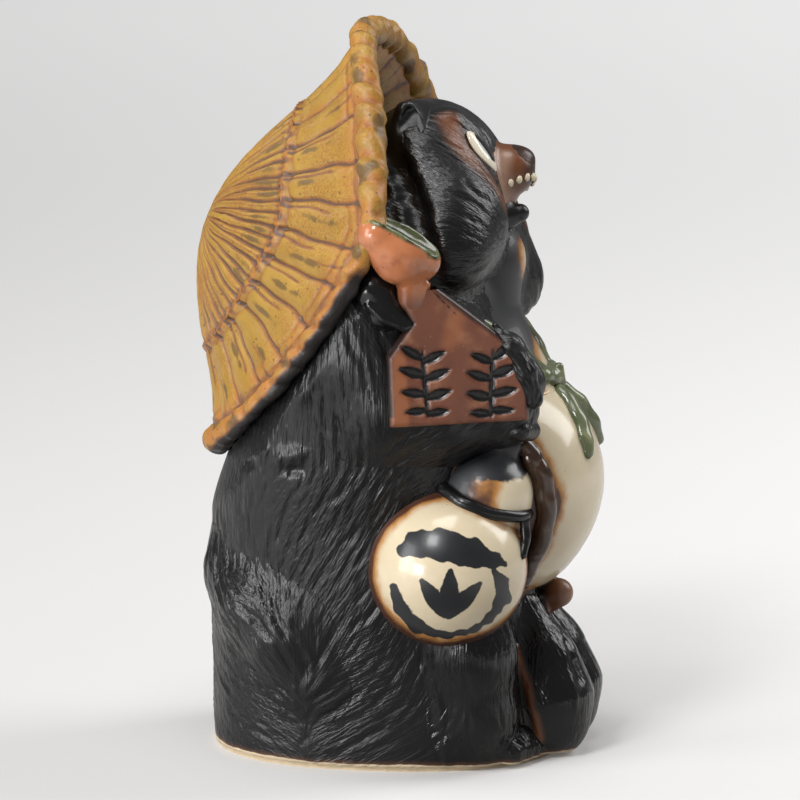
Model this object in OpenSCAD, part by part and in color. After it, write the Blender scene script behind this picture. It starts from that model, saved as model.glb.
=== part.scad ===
// Glazed stoneware tanuki ornament with a straw travelling hat, a lucky plaque, a gourd
// flask and a big belly. Millimetres, Z up, the figure faces -Y, the origin is on the
// standing face. Every applied clay piece is a solid of its own and is cut back to the
// face it is luted on, so that neighbours meet face to face.

/* [Body] */
// Height of the hollow trunk under the head
trunk_height = 168; // [150:1:190]
// Wall thickness of the press-moulded trunk
wall = 6; // [4:0.5:9]
// Half width of the trunk at the standing face
base_half_width = 42; // [36:1:50]
// Half width of the trunk at the shoulders, under the hat
shoulder_half_width = 52.5; // [44:0.5:60]
// Distance of the back face behind the origin
back_y = 57; // [50:1:66]
// Distance of the front of the feet before the origin
front_y = 50; // [44:1:58]
// Height of the bare clay ring that the figure stands on
foot_h = 1.4; // [1:0.1:3]

/* [Belly and chest] */
// Half width of the belly
belly_rx = 37; // [28:1:42]
// Depth radius of the belly
belly_ry = 37.6; // [30:0.2:44]
// Height radius of the belly
belly_rz = 37; // [28:1:42]
// Height of the middle of the belly
belly_z = 81; // [70:1:92]

/* [Head] */
// Drop of the middle of the head below the top of the trunk
head_drop = 6; // [0:0.5:14]
// Sideways tilt of the head, the left cheek lower
head_roll = 18; // [0:1:22]
// Turn of the head towards the plaque
head_turn = 4; // [0:1:12]
// Half width of the skull
skull_rx = 33; // [28:1:40]
// Reach of the muzzle before the middle of the head
muzzle_reach = 33; // [28:0.5:38]

/* [Hat] */
// Half width of the hat
hat_a = 61; // [52:1:70]
// Length of the hat from its top edge to its bottom edge
hat_length = 134; // [124:1:146]
// Height of the dome over the edge
dome_h = 24; // [18:0.5:30]
// How far the side brims bend forward
brim_bend = 30; // [20:1:38]
// Thickness of the hat wall
hat_t = 5; // [4:0.5:7]
// Number of straw bundles round the hat
bundles = 28; // [20:1:40]
// Depth of the grooves between the bundles
groove = 1; // [0.4:0.1:1.4]
// Radius of the bound rim at the top of the hat
rim_r = 4.6; // [3.6:0.1:5.6]

/* [Plaque] */
// Width of the plaque
plaque_w = 40; // [32:1:48]
// Height of the straight sides of the plaque
plaque_h = 19; // [14:1:26]
// Height of the gable over the straight sides
gable_h = 22; // [12:1:26]
// Thickness of the plaque
plaque_t = 8; // [5:0.5:11]

/* [Flask] */
// Radius of the lower bulb
flask_r = 23.5; // [18:0.5:27]
// Radius of the upper bulb
flask_top_r = 13.5; // [10:0.5:17]
// Radius of the cord round the waist
flask_cord_r = 2; // [1.4:0.1:3]

/* [Hidden] */

seg = 32;
bands = 11;
mid_y = 6;
trunk_power = 2.3;
belly_y = -0.48 * front_y;
cavity_top = trunk_height * 0.8;

// shapes of the trunk along its height, as shares of the driving sizes
back_share = [0.983, 0.99, 0.995, 0.995, 1, 0.985, 0.93, 0.79, 0.52];
front_share = [1, 0.9, 0.82, 0.78, 0.76, 0.72, 0.66, 0.54, 0.24];
width_share = [0, 0.1, 0.2, 0.33, 0.57, 0.81, 1, 0.86, -0.7];

function catmull(t, a, b, c, d) =
    0.5 * (2 * b + (c - a) * t + (2 * a - 5 * b + 4 * c - d) * t * t
        + (3 * b - a - 3 * c + d) * t * t * t);
function along(list, u) =
    let (n = len(list) - 1, x = min(max(u, 0), 0.9999) * n, i = floor(x), t = x - i)
    catmull(t, list[max(i - 1, 0)], list[i], list[i + 1], list[min(i + 2, n)]);
function power(v, n) = sign(v) * pow(abs(v), 2 / n);
function trunk_ring(z, inset) =
    let (
        u = z / trunk_height,
        back = back_y * along(back_share, u) - inset,
        front = front_y * along(front_share, u) - inset,
        half = base_half_width
            + (shoulder_half_width - base_half_width) * along(width_share, u) - inset
    )
    [for (i = [0:seg - 1])
        let (a = 360 * i / seg)
        [half * power(cos(a), trunk_power),
         mid_y + (sin(a) > 0 ? back - mid_y : front + mid_y) * power(sin(a), trunk_power), z]];

// one convex slice between two rings of points
module slice(a, b) {
    hull() polyhedron(points = concat(a, b), faces = concat(
        [[for (i = [0:len(a) - 1]) i]],
        [[for (i = [len(b) - 1:-1:0]) len(a) + i]],
        [for (i = [0:len(a) - 1]) let (j = (i + 1) % len(a)) [i, len(a) + i, len(a) + j, j]]));
}

module trunk_form(inset = 0, z0 = 0, z1 = trunk_height, n = bands) {
    for (k = [0:n - 1])
        slice(trunk_ring(z0 + (z1 - z0) * k / n, inset),
              trunk_ring(z0 + (z1 - z0) * (k + 1) / n, inset));
}

// arms, legs and small applied pieces are laid out on a figure 168 high and grow with the trunk
module fitted() scale([shoulder_half_width / 52.5, back_y / 57, trunk_height / 168]) children();

module ball(p, r, fn = 16) translate(p) sphere(r, $fn = fn);

// a limb through balls [x, y, z, radius]
module limb(list, fn = 14) {
    for (i = [0:len(list) - 2]) hull() {
        ball([list[i][0], list[i][1], list[i][2]], list[i][3], fn);
        ball([list[i + 1][0], list[i + 1][1], list[i + 1][2]], list[i + 1][3], fn);
    }
}

module egg(p, r, fn) translate(p) scale(r) sphere(1, $fn = fn);

// mirror image for the left side of the figure
module left_side() mirror([1, 0, 0]) children();

// everything over the standing ring
module above(h = foot_h) {
    intersection() {
        children();
        translate([-1, -1, 0] * trunk_height + [0, 0, h]) cube([2, 2, 2] * trunk_height);
    }
}

// the hat lies in its own frame: x across, hat_up along its length, hat_out away from the back
hat_c = [0, 0.6105 * back_y, 0.9107 * trunk_height];
hat_lean = 20.4;
hat_up = [0, -sin(hat_lean), cos(hat_lean)];
hat_out = [0, cos(hat_lean), sin(hat_lean)];
wide_at = 0.1642 * hat_length;
hat_top = hat_length / 2 - wide_at - 1.2;
hat_low = hat_length / 2 + wide_at - 2;
hat_n = 3 * bundles;
ring_at = 0.64;
hat_rings = [0.2, 0.42, ring_at - 0.05, ring_at, ring_at + 0.05, 0.84, 1];
hat_inner = [0.55, 1];
hat_apex = -0.0224 * hat_length;

// the widest place is over the middle, the upper edge comes to a blunt peak
function rim_xy(a) = sin(a) > 0
    ? [hat_a * sign(cos(a)) * pow(1 - sin(a), 0.35), wide_at + hat_top * sin(a)]
    : [hat_a * cos(a) * (1 + 0.06 * sin(a)), wide_at + hat_low * sin(a)];
// the bound rim is thick round the top, thin below the widest place and thicker again at the foot
function rim_at(a) = rim_r * lookup(rim_xy(a)[1], [[-wide_at * 3, 0.96], [-wide_at * 2.2, 0.66],
    [wide_at * 0.8, 0.66], [wide_at * 1.5, 1], [hat_top * 1.1, 1], [wide_at + hat_top, 0.86]]);
// equal steps along the rim: a table of length against angle
rim_step = [for (k = [0:119]) norm(rim_xy(3 * k + 3) - rim_xy(3 * k))];
function run(list, k) = k < 0 ? 0 : list[k] + run(list, k - 1);
rim_table = [for (k = [0:120]) [run(rim_step, k - 1), 3 * k]];
function rim_angle(i) = lookup(rim_table[120][0] * i / hat_n, rim_table);
rim_a = [for (i = [0:hat_n - 1]) rim_angle(i)];
function dome(r) = dome_h * (1 + cos(180 * pow(r, 1.1))) / 2;
// the lower half is fuller than the upper one
function swell(q, r) = 2.4 * sin(180 * r) * max(0, min(1, -q[1] / 60));
function place(q, e) = hat_c + [q[0], 0, 0] + hat_up * q[1] + hat_out * e;
function saddle(x) = -brim_bend * (x > 0 ? 0.94 : 1) * pow(x / hat_a, 2);
// the wall ends where the bound rim begins
function seam_share(a) =
    1 - sqrt(pow(rim_at(a), 2) - pow(hat_t / 2, 2)) / norm(rim_xy(a) - [0, hat_apex]);
function relief(r, i) =
    (i % 3 == 0 ? -groove : 0.2) + (abs(r - ring_at) < 0.01 ? 0.8 : 0)
    + (r > 0.8 ? -0.4 : 0);
function hat_point(i, s, depth) =
    let (a = rim_a[i], r = s * seam_share(a), q = [0, hat_apex] * (1 - r) + rim_xy(a) * r)
    place(q, saddle(q[0]) + dome(r) + swell(q, r) + (depth > 0 ? -depth : s == 1 ? 0 : relief(s, i)));

module grid(points, n, rows, apex_first, apex_last) {
    body = [for (k = [0:rows - 2]) for (i = [0:n - 1]) let (j = (i + 1) % n)
        [k * n + i, (k + 1) * n + i, (k + 1) * n + j, k * n + j]];
    a = rows * n;
    cap0 = [for (i = [0:n - 1]) [a, i, (i + 1) % n]];
    cap1 = [for (i = [0:n - 1]) [a + 1, (rows - 1) * n + (i + 1) % n, (rows - 1) * n + i]];
    polyhedron(points = concat(points, [apex_first, apex_last]),
        faces = concat([for (f = body) [f[0], f[1], f[2]]], [for (f = body) [f[0], f[2], f[3]]],
            cap0, cap1));
}

module hat_shell(depth) {
    rows_out = [for (s = hat_rings) for (i = [0:hat_n - 1]) hat_point(i, s, 0)];
    rows_in = [for (k = [len(hat_inner) - 1:-1:0]) for (i = [0:hat_n - 1])
        hat_point(i, hat_inner[k], depth)];
    grid(concat(rows_out, rows_in), hat_n, len(hat_rings) + len(hat_inner),
        place([0, hat_apex], dome_h), place([0, hat_apex], dome_h - depth));
}

// everything behind the hat's inner face, with a ledge that clears the bound rim
module hat_mass(out = 60) {
    list = [for (k = [0:seg - 1]) floor(hat_n * (k + 0.5) / seg)];
    function ledge(i, d) =
        let (p = rim_xy(rim_a[i]), q = p + (p - [0, hat_apex]) / norm(p - [0, hat_apex]) * d)
        place(q, saddle(p[0]) - hat_t / 2 - rim_at(rim_a[i]) * 1.1);
    edge = [for (i = list) ledge(i, rim_at(rim_a[i]) * 1.2)];
    rows_in = [for (k = [len(hat_inner) - 1:-1:0]) for (i = list) hat_point(i, hat_inner[k], hat_t)];
    grid(concat([for (p = edge) p + hat_out * out], edge, [for (i = list) ledge(i, -rim_at(rim_a[i]))], rows_in),
        len(list), len(hat_inner) + 3,
        place([0, hat_apex], dome_h + out), place([0, hat_apex], dome_h - hat_t));
}

function rim_section(i) =
    let (
        p = rim_xy(rim_a[i]), d = (p - [0, hat_apex]) / norm(p - [0, hat_apex]),
        r = rim_at(rim_a[i]) * (i % 3 == 0 ? 0.9 : 1.04),
        e = saddle(p[0]) - hat_t / 2,
        start = hat_point(i, 1, 0), end = hat_point(i, 1, hat_t)
    )
    concat([start],
        [for (t = [95, 32, -32, -95]) place(p + d * r * cos(t), e + r * sin(t))], [end]);

module rim_form() {
    pts = [for (i = [0:hat_n - 1]) each rim_section(i)];
    m = 6;
    polyhedron(points = pts, faces = [for (i = [0:hat_n - 1]) for (k = [0:m - 1])
        let (j = (i + 1) % hat_n, l = (k + 1) % m, a = i * m + k, b = j * m + k, c = j * m + l,
            d = i * m + l) each [[a, c, b], [a, d, c]]]);
}

// whole forms, before they are cut back to their neighbours
module belly_form() egg([0, belly_y, belly_z], [belly_rx, belly_ry, belly_rz], 32);
module chest_form() fitted() limb([[0, -23, 147, 15], [0, -18, 131, 17], [0, -21.5, 112, 23.5]], 18);
module head_form() {
    in_head() {
        egg([0, -3, 6], [33, 24, 27], 22);
        for (s = [-1, 1]) {
            egg([s * 16, -11, -8], [20, 20, 22], 18);
            egg([s * 25, s > 0 ? -18.2 : -12, s > 0 ? -16 : -17], [13, 16, 15], 14);
            hull() {
                ball([s * 8, -17, 18], 3.2, 8);
                ball([s * 18, -12, 23], 3.2, 8);
                ball([s * 13, -8, 16], 8, 10);
            }
        }
        limb([[0, -21, 12, 5], [0, -22, 4, 6]], 12);
    }
}
head_reach = muzzle_reach * 33 / skull_rx;
module in_head() translate([0, -0.12 * front_y, trunk_height - head_drop])
    rotate([0, head_roll, -head_turn]) scale(skull_rx / 33) children();
module muzzle_form() in_head() limb([[0, -18, 8, 11], [0, 6.8 - head_reach, 12.2, 7.9]], 16);
module jaw_form() in_head() limb([[0, -20, -3, 8], [0, 2.5 - head_reach, -0.5, 2.8]], 14);
module right_arm_form() fitted() limb([[-38, 8, 138, 12], [-42.5, 4, 122, 11.5],
    [-43.5, -3, 109, 11], [-40, -20, 105.5, 10.5], [-36, -34, 106, 9.5]], 16);
module right_paw_form() fitted() {
    limb([[-35, -37.5, 107, 9], [-34, -39.7, 115.5, 8.3], [-35, -37, 124.5, 6.5]], 10);
    for (k = [0:3]) limb([[-34, -44.2 + 0.5 * k, 102 + 5.2 * k, 3.2], [-41, -42.5 + 0.4 * k, 103 + 5.2 * k, 3]], 8);
}
module left_arm_form() fitted() limb([[38, 6, 138, 13], [46, 0, 122, 13], [47, -8, 108, 12],
    [42, -22, 104, 10], [34, -34, 104, 9]], 16);
module left_paw_form() fitted() {
    limb([[32, -37, 102, 9], [27, -40.5, 100, 7.5]], 10);
    for (k = [0:3]) limb([[29, -41.5, 94 + 4.2 * k, 3.2], [21, -46.5 + 0.8 * k, 93.5 + 4 * k, 2.8]], 8);
}
// the plaque stands in its own frame: x along its foot towards the front, y up, z outwards
plaque_at = [-1.038 * shoulder_half_width, -0.13 * front_y, 0.628 * trunk_height];
plaque_unit = plaque_w / 40;
plaque_turn = 17;
module in_plaque() translate(plaque_at) rotate([0, 0, -90 + plaque_turn]) rotate([90, 0, 0])
    rotate([0, 0, 2]) children();
module plaque_outline(inset) {
    polygon([[inset, inset], [plaque_w - inset, inset], [plaque_w - inset, plaque_h - inset / 2],
        [plaque_w * 0.33, plaque_h + gable_h - inset], [plaque_w * 0.2, plaque_h + gable_h - inset],
        [inset, plaque_h - inset / 2]]);
}
module plaque_form() in_plaque() hull() {
    translate([0, 0, -plaque_t / 2]) linear_extrude(plaque_t - 1.2) plaque_outline(0);
    translate([0, 0, -plaque_t / 2]) linear_extrude(plaque_t) plaque_outline(1.4);
}
flask_low = [-0.705 * shoulder_half_width, -0.41 * front_y, 0.366 * trunk_height];
flask_top = flask_low + [0.12, -0.297, 0.568] * (flask_r + flask_top_r);
module flask_form() {
    ball(flask_low, flask_r, 22);
    ball(flask_top, flask_top_r, 16);
    translate(flask_top) scale(flask_top_r / 13.5) {
        limb([[0, 5.5, -9.5, 10], [0, 0.5, -0.5, 9]], 12);
        limb([[0, -2.5, 8.5, 6], [0, -5.5, 14.5, 5]], 12);
    }
}
module right_leg_form() fitted() {
    limb([[-33, -24, 50, 12], [-32, -27, 34, 12.5], [-29.5, -28, 16, 11.5], [-26, -27, 5, 10.5]], 14);
}
module foot_form() fitted() {
    limb([[-25, -31, 6.5, 9.8], [-21, -37, 5.5, 8]], 12);
    for (k = [0:3]) limb([[-28 + 3.2 * k, -34 - 2 * k, 6, 4.8],
        [-29.5 + 4.2 * k, -38.5 - 2 * k, 4.4, 4.2]], 8);
}
module bag_form(s) fitted() limb([[s * 7, -39, 43, 6], [s * 9, -44.5, 28, 10], [s * 9.5, -46.5, 17, 13],
    [s * 9.5, -47.5, 9.5, 11.2]], 14);
module tail_form() fitted() limb([[-2, 47, 56, 8], [-18, 44, 54, 10], [-29, 37, 47, 11],
    [-35, 27, 39, 11.5], [-37, 20, 27, 8.5]], 14);

// the pieces
function ring_2d(z, inset) = [for (p = trunk_ring(z, inset)) [p[0], p[1]]];
module base_outline() {
    hull() {
        polygon(ring_2d(0, 0.6));
        scale([shoulder_half_width / 52.5, back_y / 57]) for (s = [-1, 1]) {
            translate([s * 19.5, -33]) circle(8, $fn = 24);
            translate([s * 9.5, -41.5]) circle(7, $fn = 24);
        }
    }
}
module foot_ring() color("#d8c7a4") linear_extrude(foot_h) difference() {
    base_outline();
    polygon(ring_2d(0, wall));
}
module trunk() color("#1d1c1c") difference() {
    above() trunk_form();
    // the hollow keeps the wall's thickness under the hat too
    difference() {
        trunk_form(wall, -1, cavity_top, 4);
        translate(-wall * hat_out) hat_mass();
    }
    hat_mass();
}
module belly() color("#d9c8a0") difference() {
    belly_form();
    trunk_form();
}
module chest() color("#cdb88c") difference() {
    chest_form();
    trunk_form();
    belly_form();
}
module head() color("#1b1a1a") difference() {
    head_form();
    trunk_form();
    chest_form();
    belly_form();
    hat_mass();
}
module ear_form() difference() {
    hull() {
        ball([-21, 0, 14], 8, 14);
        ball([-29, -1, 26], 2.4, 10);
        ball([-15, 0, 24], 5, 12);
    }
    hull() {
        ball([-24, -7, 18], 4, 10);
        ball([-27.5, -5, 23.5], 1.4, 8);
    }
}
module ear_cut() {
    head_form();
    trunk_form();
    hat_mass();
}
module right_ear() color("#1b1a1a") difference() {
    in_head() ear_form();
    ear_cut();
}
module left_ear() color("#1b1a1a") difference() {
    in_head() left_side() ear_form();
    ear_cut();
}
module muzzle() color("#5f3c28") difference() {
    muzzle_form();
    head_form();
    trunk_form();
}
module nose() color("#201614") difference() {
    in_head() egg([0, 4 - head_reach, 15.6], [4.6, 4, 3.4], 12);
    muzzle_form();
    head_form();
    trunk_form();
}
module lower_jaw() color("#4a2c20") difference() {
    jaw_form();
    head_form();
    muzzle_form();
    trunk_form();
    chest_form();
}
module teeth() color("#d9cba4") difference() {
    // a low gum with a row of small teeth along the edge of the mouth
    in_head() translate([0, 6.6 - head_reach, 0]) for (k = [-3:1]) hull() for (j = [0:1])
        rotate([0, 0, 24 * (k + j)]) translate([0, -6.8, j == 0 ? 8 : 8.8]) sphere(1.1, $fn = 6);
    head_form();
    muzzle_form();
    jaw_form();
}
module eye(s) color("#e5dcc4") difference() {
    in_head() hull() {
        egg([s * 18.5, -18.2, 17.6], [3.6, 4.4, 3.6], 12);
        egg([s * 15, -20.6, 13.1], [4.6, 4.6, 4.4], 14);
        egg([s * 10.5, -23, 8.2], [2.4, 3.4, 2.4], 10);
    }
    head_form();
    muzzle_form();
    trunk_form();
}
module right_eye() eye(-1);
module left_eye() eye(1);
module hat_dome() color("#b5802f") hat_shell(hat_t);
module hat_rim() color("#b5802f") difference() {
    rim_form();
    lip_form();
}

cord_r = 1.9;
module cord_form(s) fitted() limb([[s * 24, -26, 133, cord_r], [s * 18.5, s > 0 ? -32.8 : -33, 127, cord_r],
    [s * 12.5, s > 0 ? -38.4 : -39, 121, cord_r], [s * 4, -43.6, 114, cord_r]], 8);
module cord_cut() {
    head_form();
    trunk_form();
    chest_form();
    belly_form();
}
module knot_form() fitted() {
    egg([0, -44.8, 112.5], [6, 4.4, 4], 12);
    for (s = [-1, 1]) egg([s * 5.5, -43.6, 113.5], [4.4, 3.4, 3.2], 8);
}
module chin_cord_right() color("#5d6a3a") difference() {
    cord_form(-1);
    cord_cut();
    knot_form();
    right_paw_form();
    right_arm_form();
    plaque_form();
}
module chin_cord_left() color("#5d6a3a") difference() {
    cord_form(1);
    cord_cut();
    knot_form();
}
module chin_knot() color("#5d6a3a") difference() {
    knot_form();
    cord_cut();
}
module tail_cord(s) fitted() limb([[s * 2, -47.2, 110, 2.4], [s * 6, -52.8, 104, 2.8], [s * 10, -56.8, 96, 2.8],
    [s * 12, -58.6, 90, 1.8]], 10);
module knot_tail_right() color("#6d7343") difference() {
    tail_cord(-1);
    cord_cut();
    knot_form();
}
module knot_tail_left() color("#6d7343") difference() {
    tail_cord(1);
    cord_cut();
    knot_form();
    tail_cord(-1);
}
module right_arm() color("#1d1c1c") difference() {
    right_arm_form();
    trunk_form();
    belly_form();
    chest_form();
    head_form();
    plaque_form();
    hat_mass();
}
module right_paw() color("#1d1c1c") difference() {
    right_paw_form();
    trunk_form();
    belly_form();
    chest_form();
    plaque_form();
    right_arm_form();
    head_form();
}
module left_arm() color("#1d1c1c") difference() {
    left_arm_form();
    trunk_form();
    belly_form();
    chest_form();
    head_form();
    hat_mass();
}
module left_paw() color("#1d1c1c") difference() {
    left_paw_form();
    trunk_form();
    belly_form();
    left_arm_form();
}
module plaque() color("#6b3320") difference() {
    plaque_form();
    trunk_form();
    belly_form();
    chest_form();
}
module handle_form() in_plaque() {
    translate([0.24 * plaque_w, plaque_h + gable_h, 0]) scale(plaque_unit)
        limb([[0, -3, 0, 3.8], [-1.2, 4, 1, 4.2]]);
}
module lip_form() in_plaque() {
    translate([0, plaque_h + gable_h, 0]) scale(plaque_unit)
        limb([[-1.8, 15, 4.4, 6.1], [4.8, 8.6, 2.5, 7.2], [11.3, 6.3, 1, 5.2]], 12);
}
module plaque_handle() color("#8a4526") difference() {
    handle_form();
    plaque_form();
    lip_form();
    trunk_form();
    right_arm_form();
    head_form();
    hat_mass();
}
module handle_lip() color("#c0632c") difference() {
    lip_form();
    in_plaque() translate([0, plaque_h + gable_h, 0]) scale(plaque_unit)
        limb([[0.4, 22.4, 4, 3], [9.4, 17.6, 3.5, 3], [14.8, 12.6, 2, 2.2]], 8);
    trunk_form();
    head_form();
    right_arm_form();
    hat_shell(hat_t);
}
module sleeve_fold() color("#161616") difference() {
    fitted() limb([[-49.5, 2, 151, 5.5], [-51.5, -1.5, 144, 6.3], [-53, -5, 138.5, 5], [-54.5, -12, 135, 2]], 10);
    trunk_form();
    right_arm_form();
    plaque_form();
    handle_form();
    lip_form();
    head_form();
    hat_mass();
}
module flask_cut() {
    trunk_form();
    belly_form();
    right_arm_form();
    right_paw_form();
    plaque_form();
    right_leg_form();
}
module flask() color("#d8c39a") difference() {
    flask_form();
    flask_cut();
}
// the cord lies in the waist, on the circle where the two bulbs meet
module flask_cord_form() {
    d = flask_top - flask_low;
    gap = norm(d);
    along_d = (gap * gap + flask_r * flask_r - flask_top_r * flask_top_r) / 2 / gap;
    waist_r = sqrt(flask_r * flask_r - along_d * along_d) + flask_cord_r * 0.4;
    translate(flask_low + d * along_d / gap) rotate([0, acos(d[2] / gap), atan2(d[1], d[0])])
        for (k = [0:13]) hull() for (j = [0:1]) rotate([0, 0, 360 / 14 * (k + j)])
            translate([waist_r, 0, 0]) sphere(flask_cord_r, $fn = 8);
}
module flask_cord() color("#221a15") difference() {
    flask_cord_form();
    flask_form();
    flask_cut();
}
module hanging_form() fitted() limb([[-31, -40, 99, 3], [-29, -46, 90, 3.4], [-28, -48, 80, 3.4],
    [-27, -47, 70, 3.2], [-28, -43, 60, 3], [-29, -38, 50, 3]], 10);
module hanging_cord() color("#5d3a1f") difference() {
    hanging_form();
    flask_form();
    flask_cord_form();
    flask_cut();
}
module stub_form() fitted() limb([[0, -38, 41, 4.6], [0, -48.3, 46.8, 4.4]], 14);
module stub() color("#7a5a3a") difference() {
    stub_form();
    trunk_form();
    belly_form();
    bag_form(-1);
    bag_form(1);
}
module bag_cut() {
    trunk_form();
    belly_form();
}
module bag_right() color("#181717") above() difference() {
    bag_form(-1);
    bag_cut();
    translate([0, -1, -1] * trunk_height) cube([1, 2, 2] * trunk_height);
}
module bag_left() color("#181717") above() difference() {
    bag_form(1);
    bag_cut();
    translate([-1, -1, -1] * trunk_height) cube([1, 2, 2] * trunk_height);
}
module right_leg() color("#191818") above() difference() {
    right_leg_form();
    trunk_form();
    belly_form();
    bag_form(-1);
}
module right_foot() color("#191818") above() difference() {
    foot_form();
    right_leg_form();
    trunk_form();
    bag_form(-1);
}
module left_leg() color("#191818") above() difference() {
    left_side() right_leg_form();
    trunk_form();
    belly_form();
    bag_form(1);
}
module left_foot() color("#191818") above() difference() {
    left_side() {
        foot_form();
    }
    left_side() right_leg_form();
    trunk_form();
    bag_form(1);
}
module tail() color("#232222") above() difference() {
    tail_form();
    trunk_form();
}

foot_ring();
trunk();
belly();
chest();
head();
right_ear();
left_ear();
muzzle();
nose();
lower_jaw();
teeth();
right_eye();
left_eye();
hat_dome();
hat_rim();
chin_cord_right();
chin_cord_left();
chin_knot();
knot_tail_right();
knot_tail_left();
right_arm();
right_paw();
left_arm();
left_paw();
plaque();
plaque_handle();
handle_lip();
sleeve_fold();
flask();
flask_cord();
hanging_cord();
stub();
bag_right();
bag_left();
right_leg();
right_foot();
left_leg();
left_foot();
tail();
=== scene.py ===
import math

import bpy
import numpy as np
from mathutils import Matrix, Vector


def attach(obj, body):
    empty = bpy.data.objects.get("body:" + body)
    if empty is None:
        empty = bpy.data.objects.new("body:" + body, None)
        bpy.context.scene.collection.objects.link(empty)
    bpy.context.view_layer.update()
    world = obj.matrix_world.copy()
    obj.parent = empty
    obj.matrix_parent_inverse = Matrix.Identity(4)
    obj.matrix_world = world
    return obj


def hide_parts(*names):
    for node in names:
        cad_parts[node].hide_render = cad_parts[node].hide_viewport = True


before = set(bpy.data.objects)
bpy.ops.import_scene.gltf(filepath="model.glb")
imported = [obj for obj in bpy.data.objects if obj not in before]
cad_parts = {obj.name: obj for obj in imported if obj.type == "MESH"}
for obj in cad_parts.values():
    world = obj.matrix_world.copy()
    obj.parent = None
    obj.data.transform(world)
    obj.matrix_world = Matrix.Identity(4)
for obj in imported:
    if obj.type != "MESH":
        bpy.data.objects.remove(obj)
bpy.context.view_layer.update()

MM = 0.001


# The table and the light. The ornament stands on a pale table in a tent of soft white light. The
# key lamp stands over the camera's left shoulder with a low one under it, and the others light the
# left side, the front, the back and the top.
AIM = Vector((0.0, 0.0, 0.104))
CAMERA_AZIMUTH, CAMERA_ELEVATION, CAMERA_DISTANCE = -80, 9.5, 1.2


def outward(azimuth, elevation):
    # the direction from the ornament, in degrees from its front and from the table
    a, e = math.radians(azimuth), math.radians(elevation)
    return Vector((math.sin(a) * math.cos(e), -math.cos(a) * math.cos(e), math.sin(e)))


camera_data = bpy.data.cameras.new("camera")
camera = bpy.data.objects.new("camera", camera_data)
bpy.context.scene.collection.objects.link(camera)
camera.location = AIM + outward(CAMERA_AZIMUTH, CAMERA_ELEVATION) * CAMERA_DISTANCE
camera.rotation_euler = (AIM - camera.location).to_track_quat("-Z", "Y").to_euler()
camera_data.lens = 180
camera_data.sensor_width = 36
camera_data.clip_end = 60
bpy.context.scene.camera = camera
bpy.context.scene.view_settings.view_transform = "Standard"


def soft_lamp(name, azimuth, elevation, distance, width, height, watts):
    # degrees, metres and watts
    lamp = bpy.data.lights.new(name, "AREA")
    lamp.shape = "RECTANGLE"
    lamp.size, lamp.size_y, lamp.energy = width, height, watts
    holder = bpy.data.objects.new(name, lamp)
    bpy.context.scene.collection.objects.link(holder)
    out = outward(azimuth, elevation)
    holder.location = AIM + out * distance
    holder.rotation_euler = (-out).to_track_quat("-Z", "Y").to_euler()


soft_lamp("key", -108, 44, 1.5, 0.34, 0.40, 10)
soft_lamp("window", 28, 36, 1.6, 0.7, 1.0, 12)
soft_lamp("side", -142, 14, 1.5, 0.5, 0.9, 10)
soft_lamp("low", -122, 3, 1.5, 0.40, 0.34, 6.5)
soft_lamp("behind", 165, 42, 1.6, 0.6, 0.8, 4)
soft_lamp("overhead", -95, 80, 1.7, 0.8, 0.8, 11)

world = bpy.data.worlds.new("tent")
bpy.context.scene.world = world
world.use_nodes = True
sky = world.node_tree
sky.nodes.clear()
seen = sky.nodes.new("ShaderNodeLightPath")
plain = sky.nodes.new("ShaderNodeBackground")
plain.inputs["Color"].default_value = (0.86, 0.87, 0.88, 1)
plain.inputs["Strength"].default_value = 1.0
tent = sky.nodes.new("ShaderNodeBackground")
tent.inputs["Color"].default_value = (1.0, 1.0, 1.0, 1)
tent.inputs["Strength"].default_value = 0.18
choose = sky.nodes.new("ShaderNodeMixShader")
sky_out = sky.nodes.new("ShaderNodeOutputWorld")
sky.links.new(seen.outputs["Is Camera Ray"], choose.inputs[0])
sky.links.new(tent.outputs[0], choose.inputs[1])
sky.links.new(plain.outputs[0], choose.inputs[2])
sky.links.new(choose.outputs[0], sky_out.inputs["Surface"])


def new_material(name):
    m = bpy.data.materials.new(name)
    m.use_nodes = True
    m.node_tree.nodes.clear()
    return m, m.node_tree


def link(tree, a, b):
    tree.links.new(a, b)


def math_node(tree, kind, a, b=None, clamp=False):
    n = tree.nodes.new("ShaderNodeMath")
    n.operation = kind
    n.use_clamp = clamp
    for slot, value in ((0, a), (1, b)):
        if value is None:
            continue
        if isinstance(value, (int, float)):
            n.inputs[slot].default_value = value
        else:
            tree.links.new(value, n.inputs[slot])
    return n.outputs[0]


def times(tree, a, b, clamp=False):
    return math_node(tree, "MULTIPLY", a, b, clamp)


def ragged(tree, value, uneven, strength):
    # a value shifted up and down by a noise between 0 and 1
    return math_node(tree, "ADD", value, times(tree, math_node(tree, "SUBTRACT", uneven, 0.5), strength))


def mix_colour(tree, share, a, b):
    n = tree.nodes.new("ShaderNodeMix")
    n.data_type = "RGBA"
    n.clamp_factor = True
    for slot, value in ((0, share), (6, a), (7, b)):
        if isinstance(value, (int, float)):
            n.inputs[slot].default_value = value
        elif isinstance(value, tuple):
            n.inputs[slot].default_value = (*value, 1)
        else:
            tree.links.new(value, n.inputs[slot])
    return n.outputs[2]


def ramp(tree, value, low, high, smooth=True):
    n = tree.nodes.new("ShaderNodeMapRange")
    n.interpolation_type = "SMOOTHSTEP" if smooth else "LINEAR"
    for slot, v in ((0, value), (1, low), (2, high)):
        if isinstance(v, (int, float)):
            n.inputs[slot].default_value = v
        else:
            tree.links.new(v, n.inputs[slot])
    return n.outputs[0]


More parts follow.
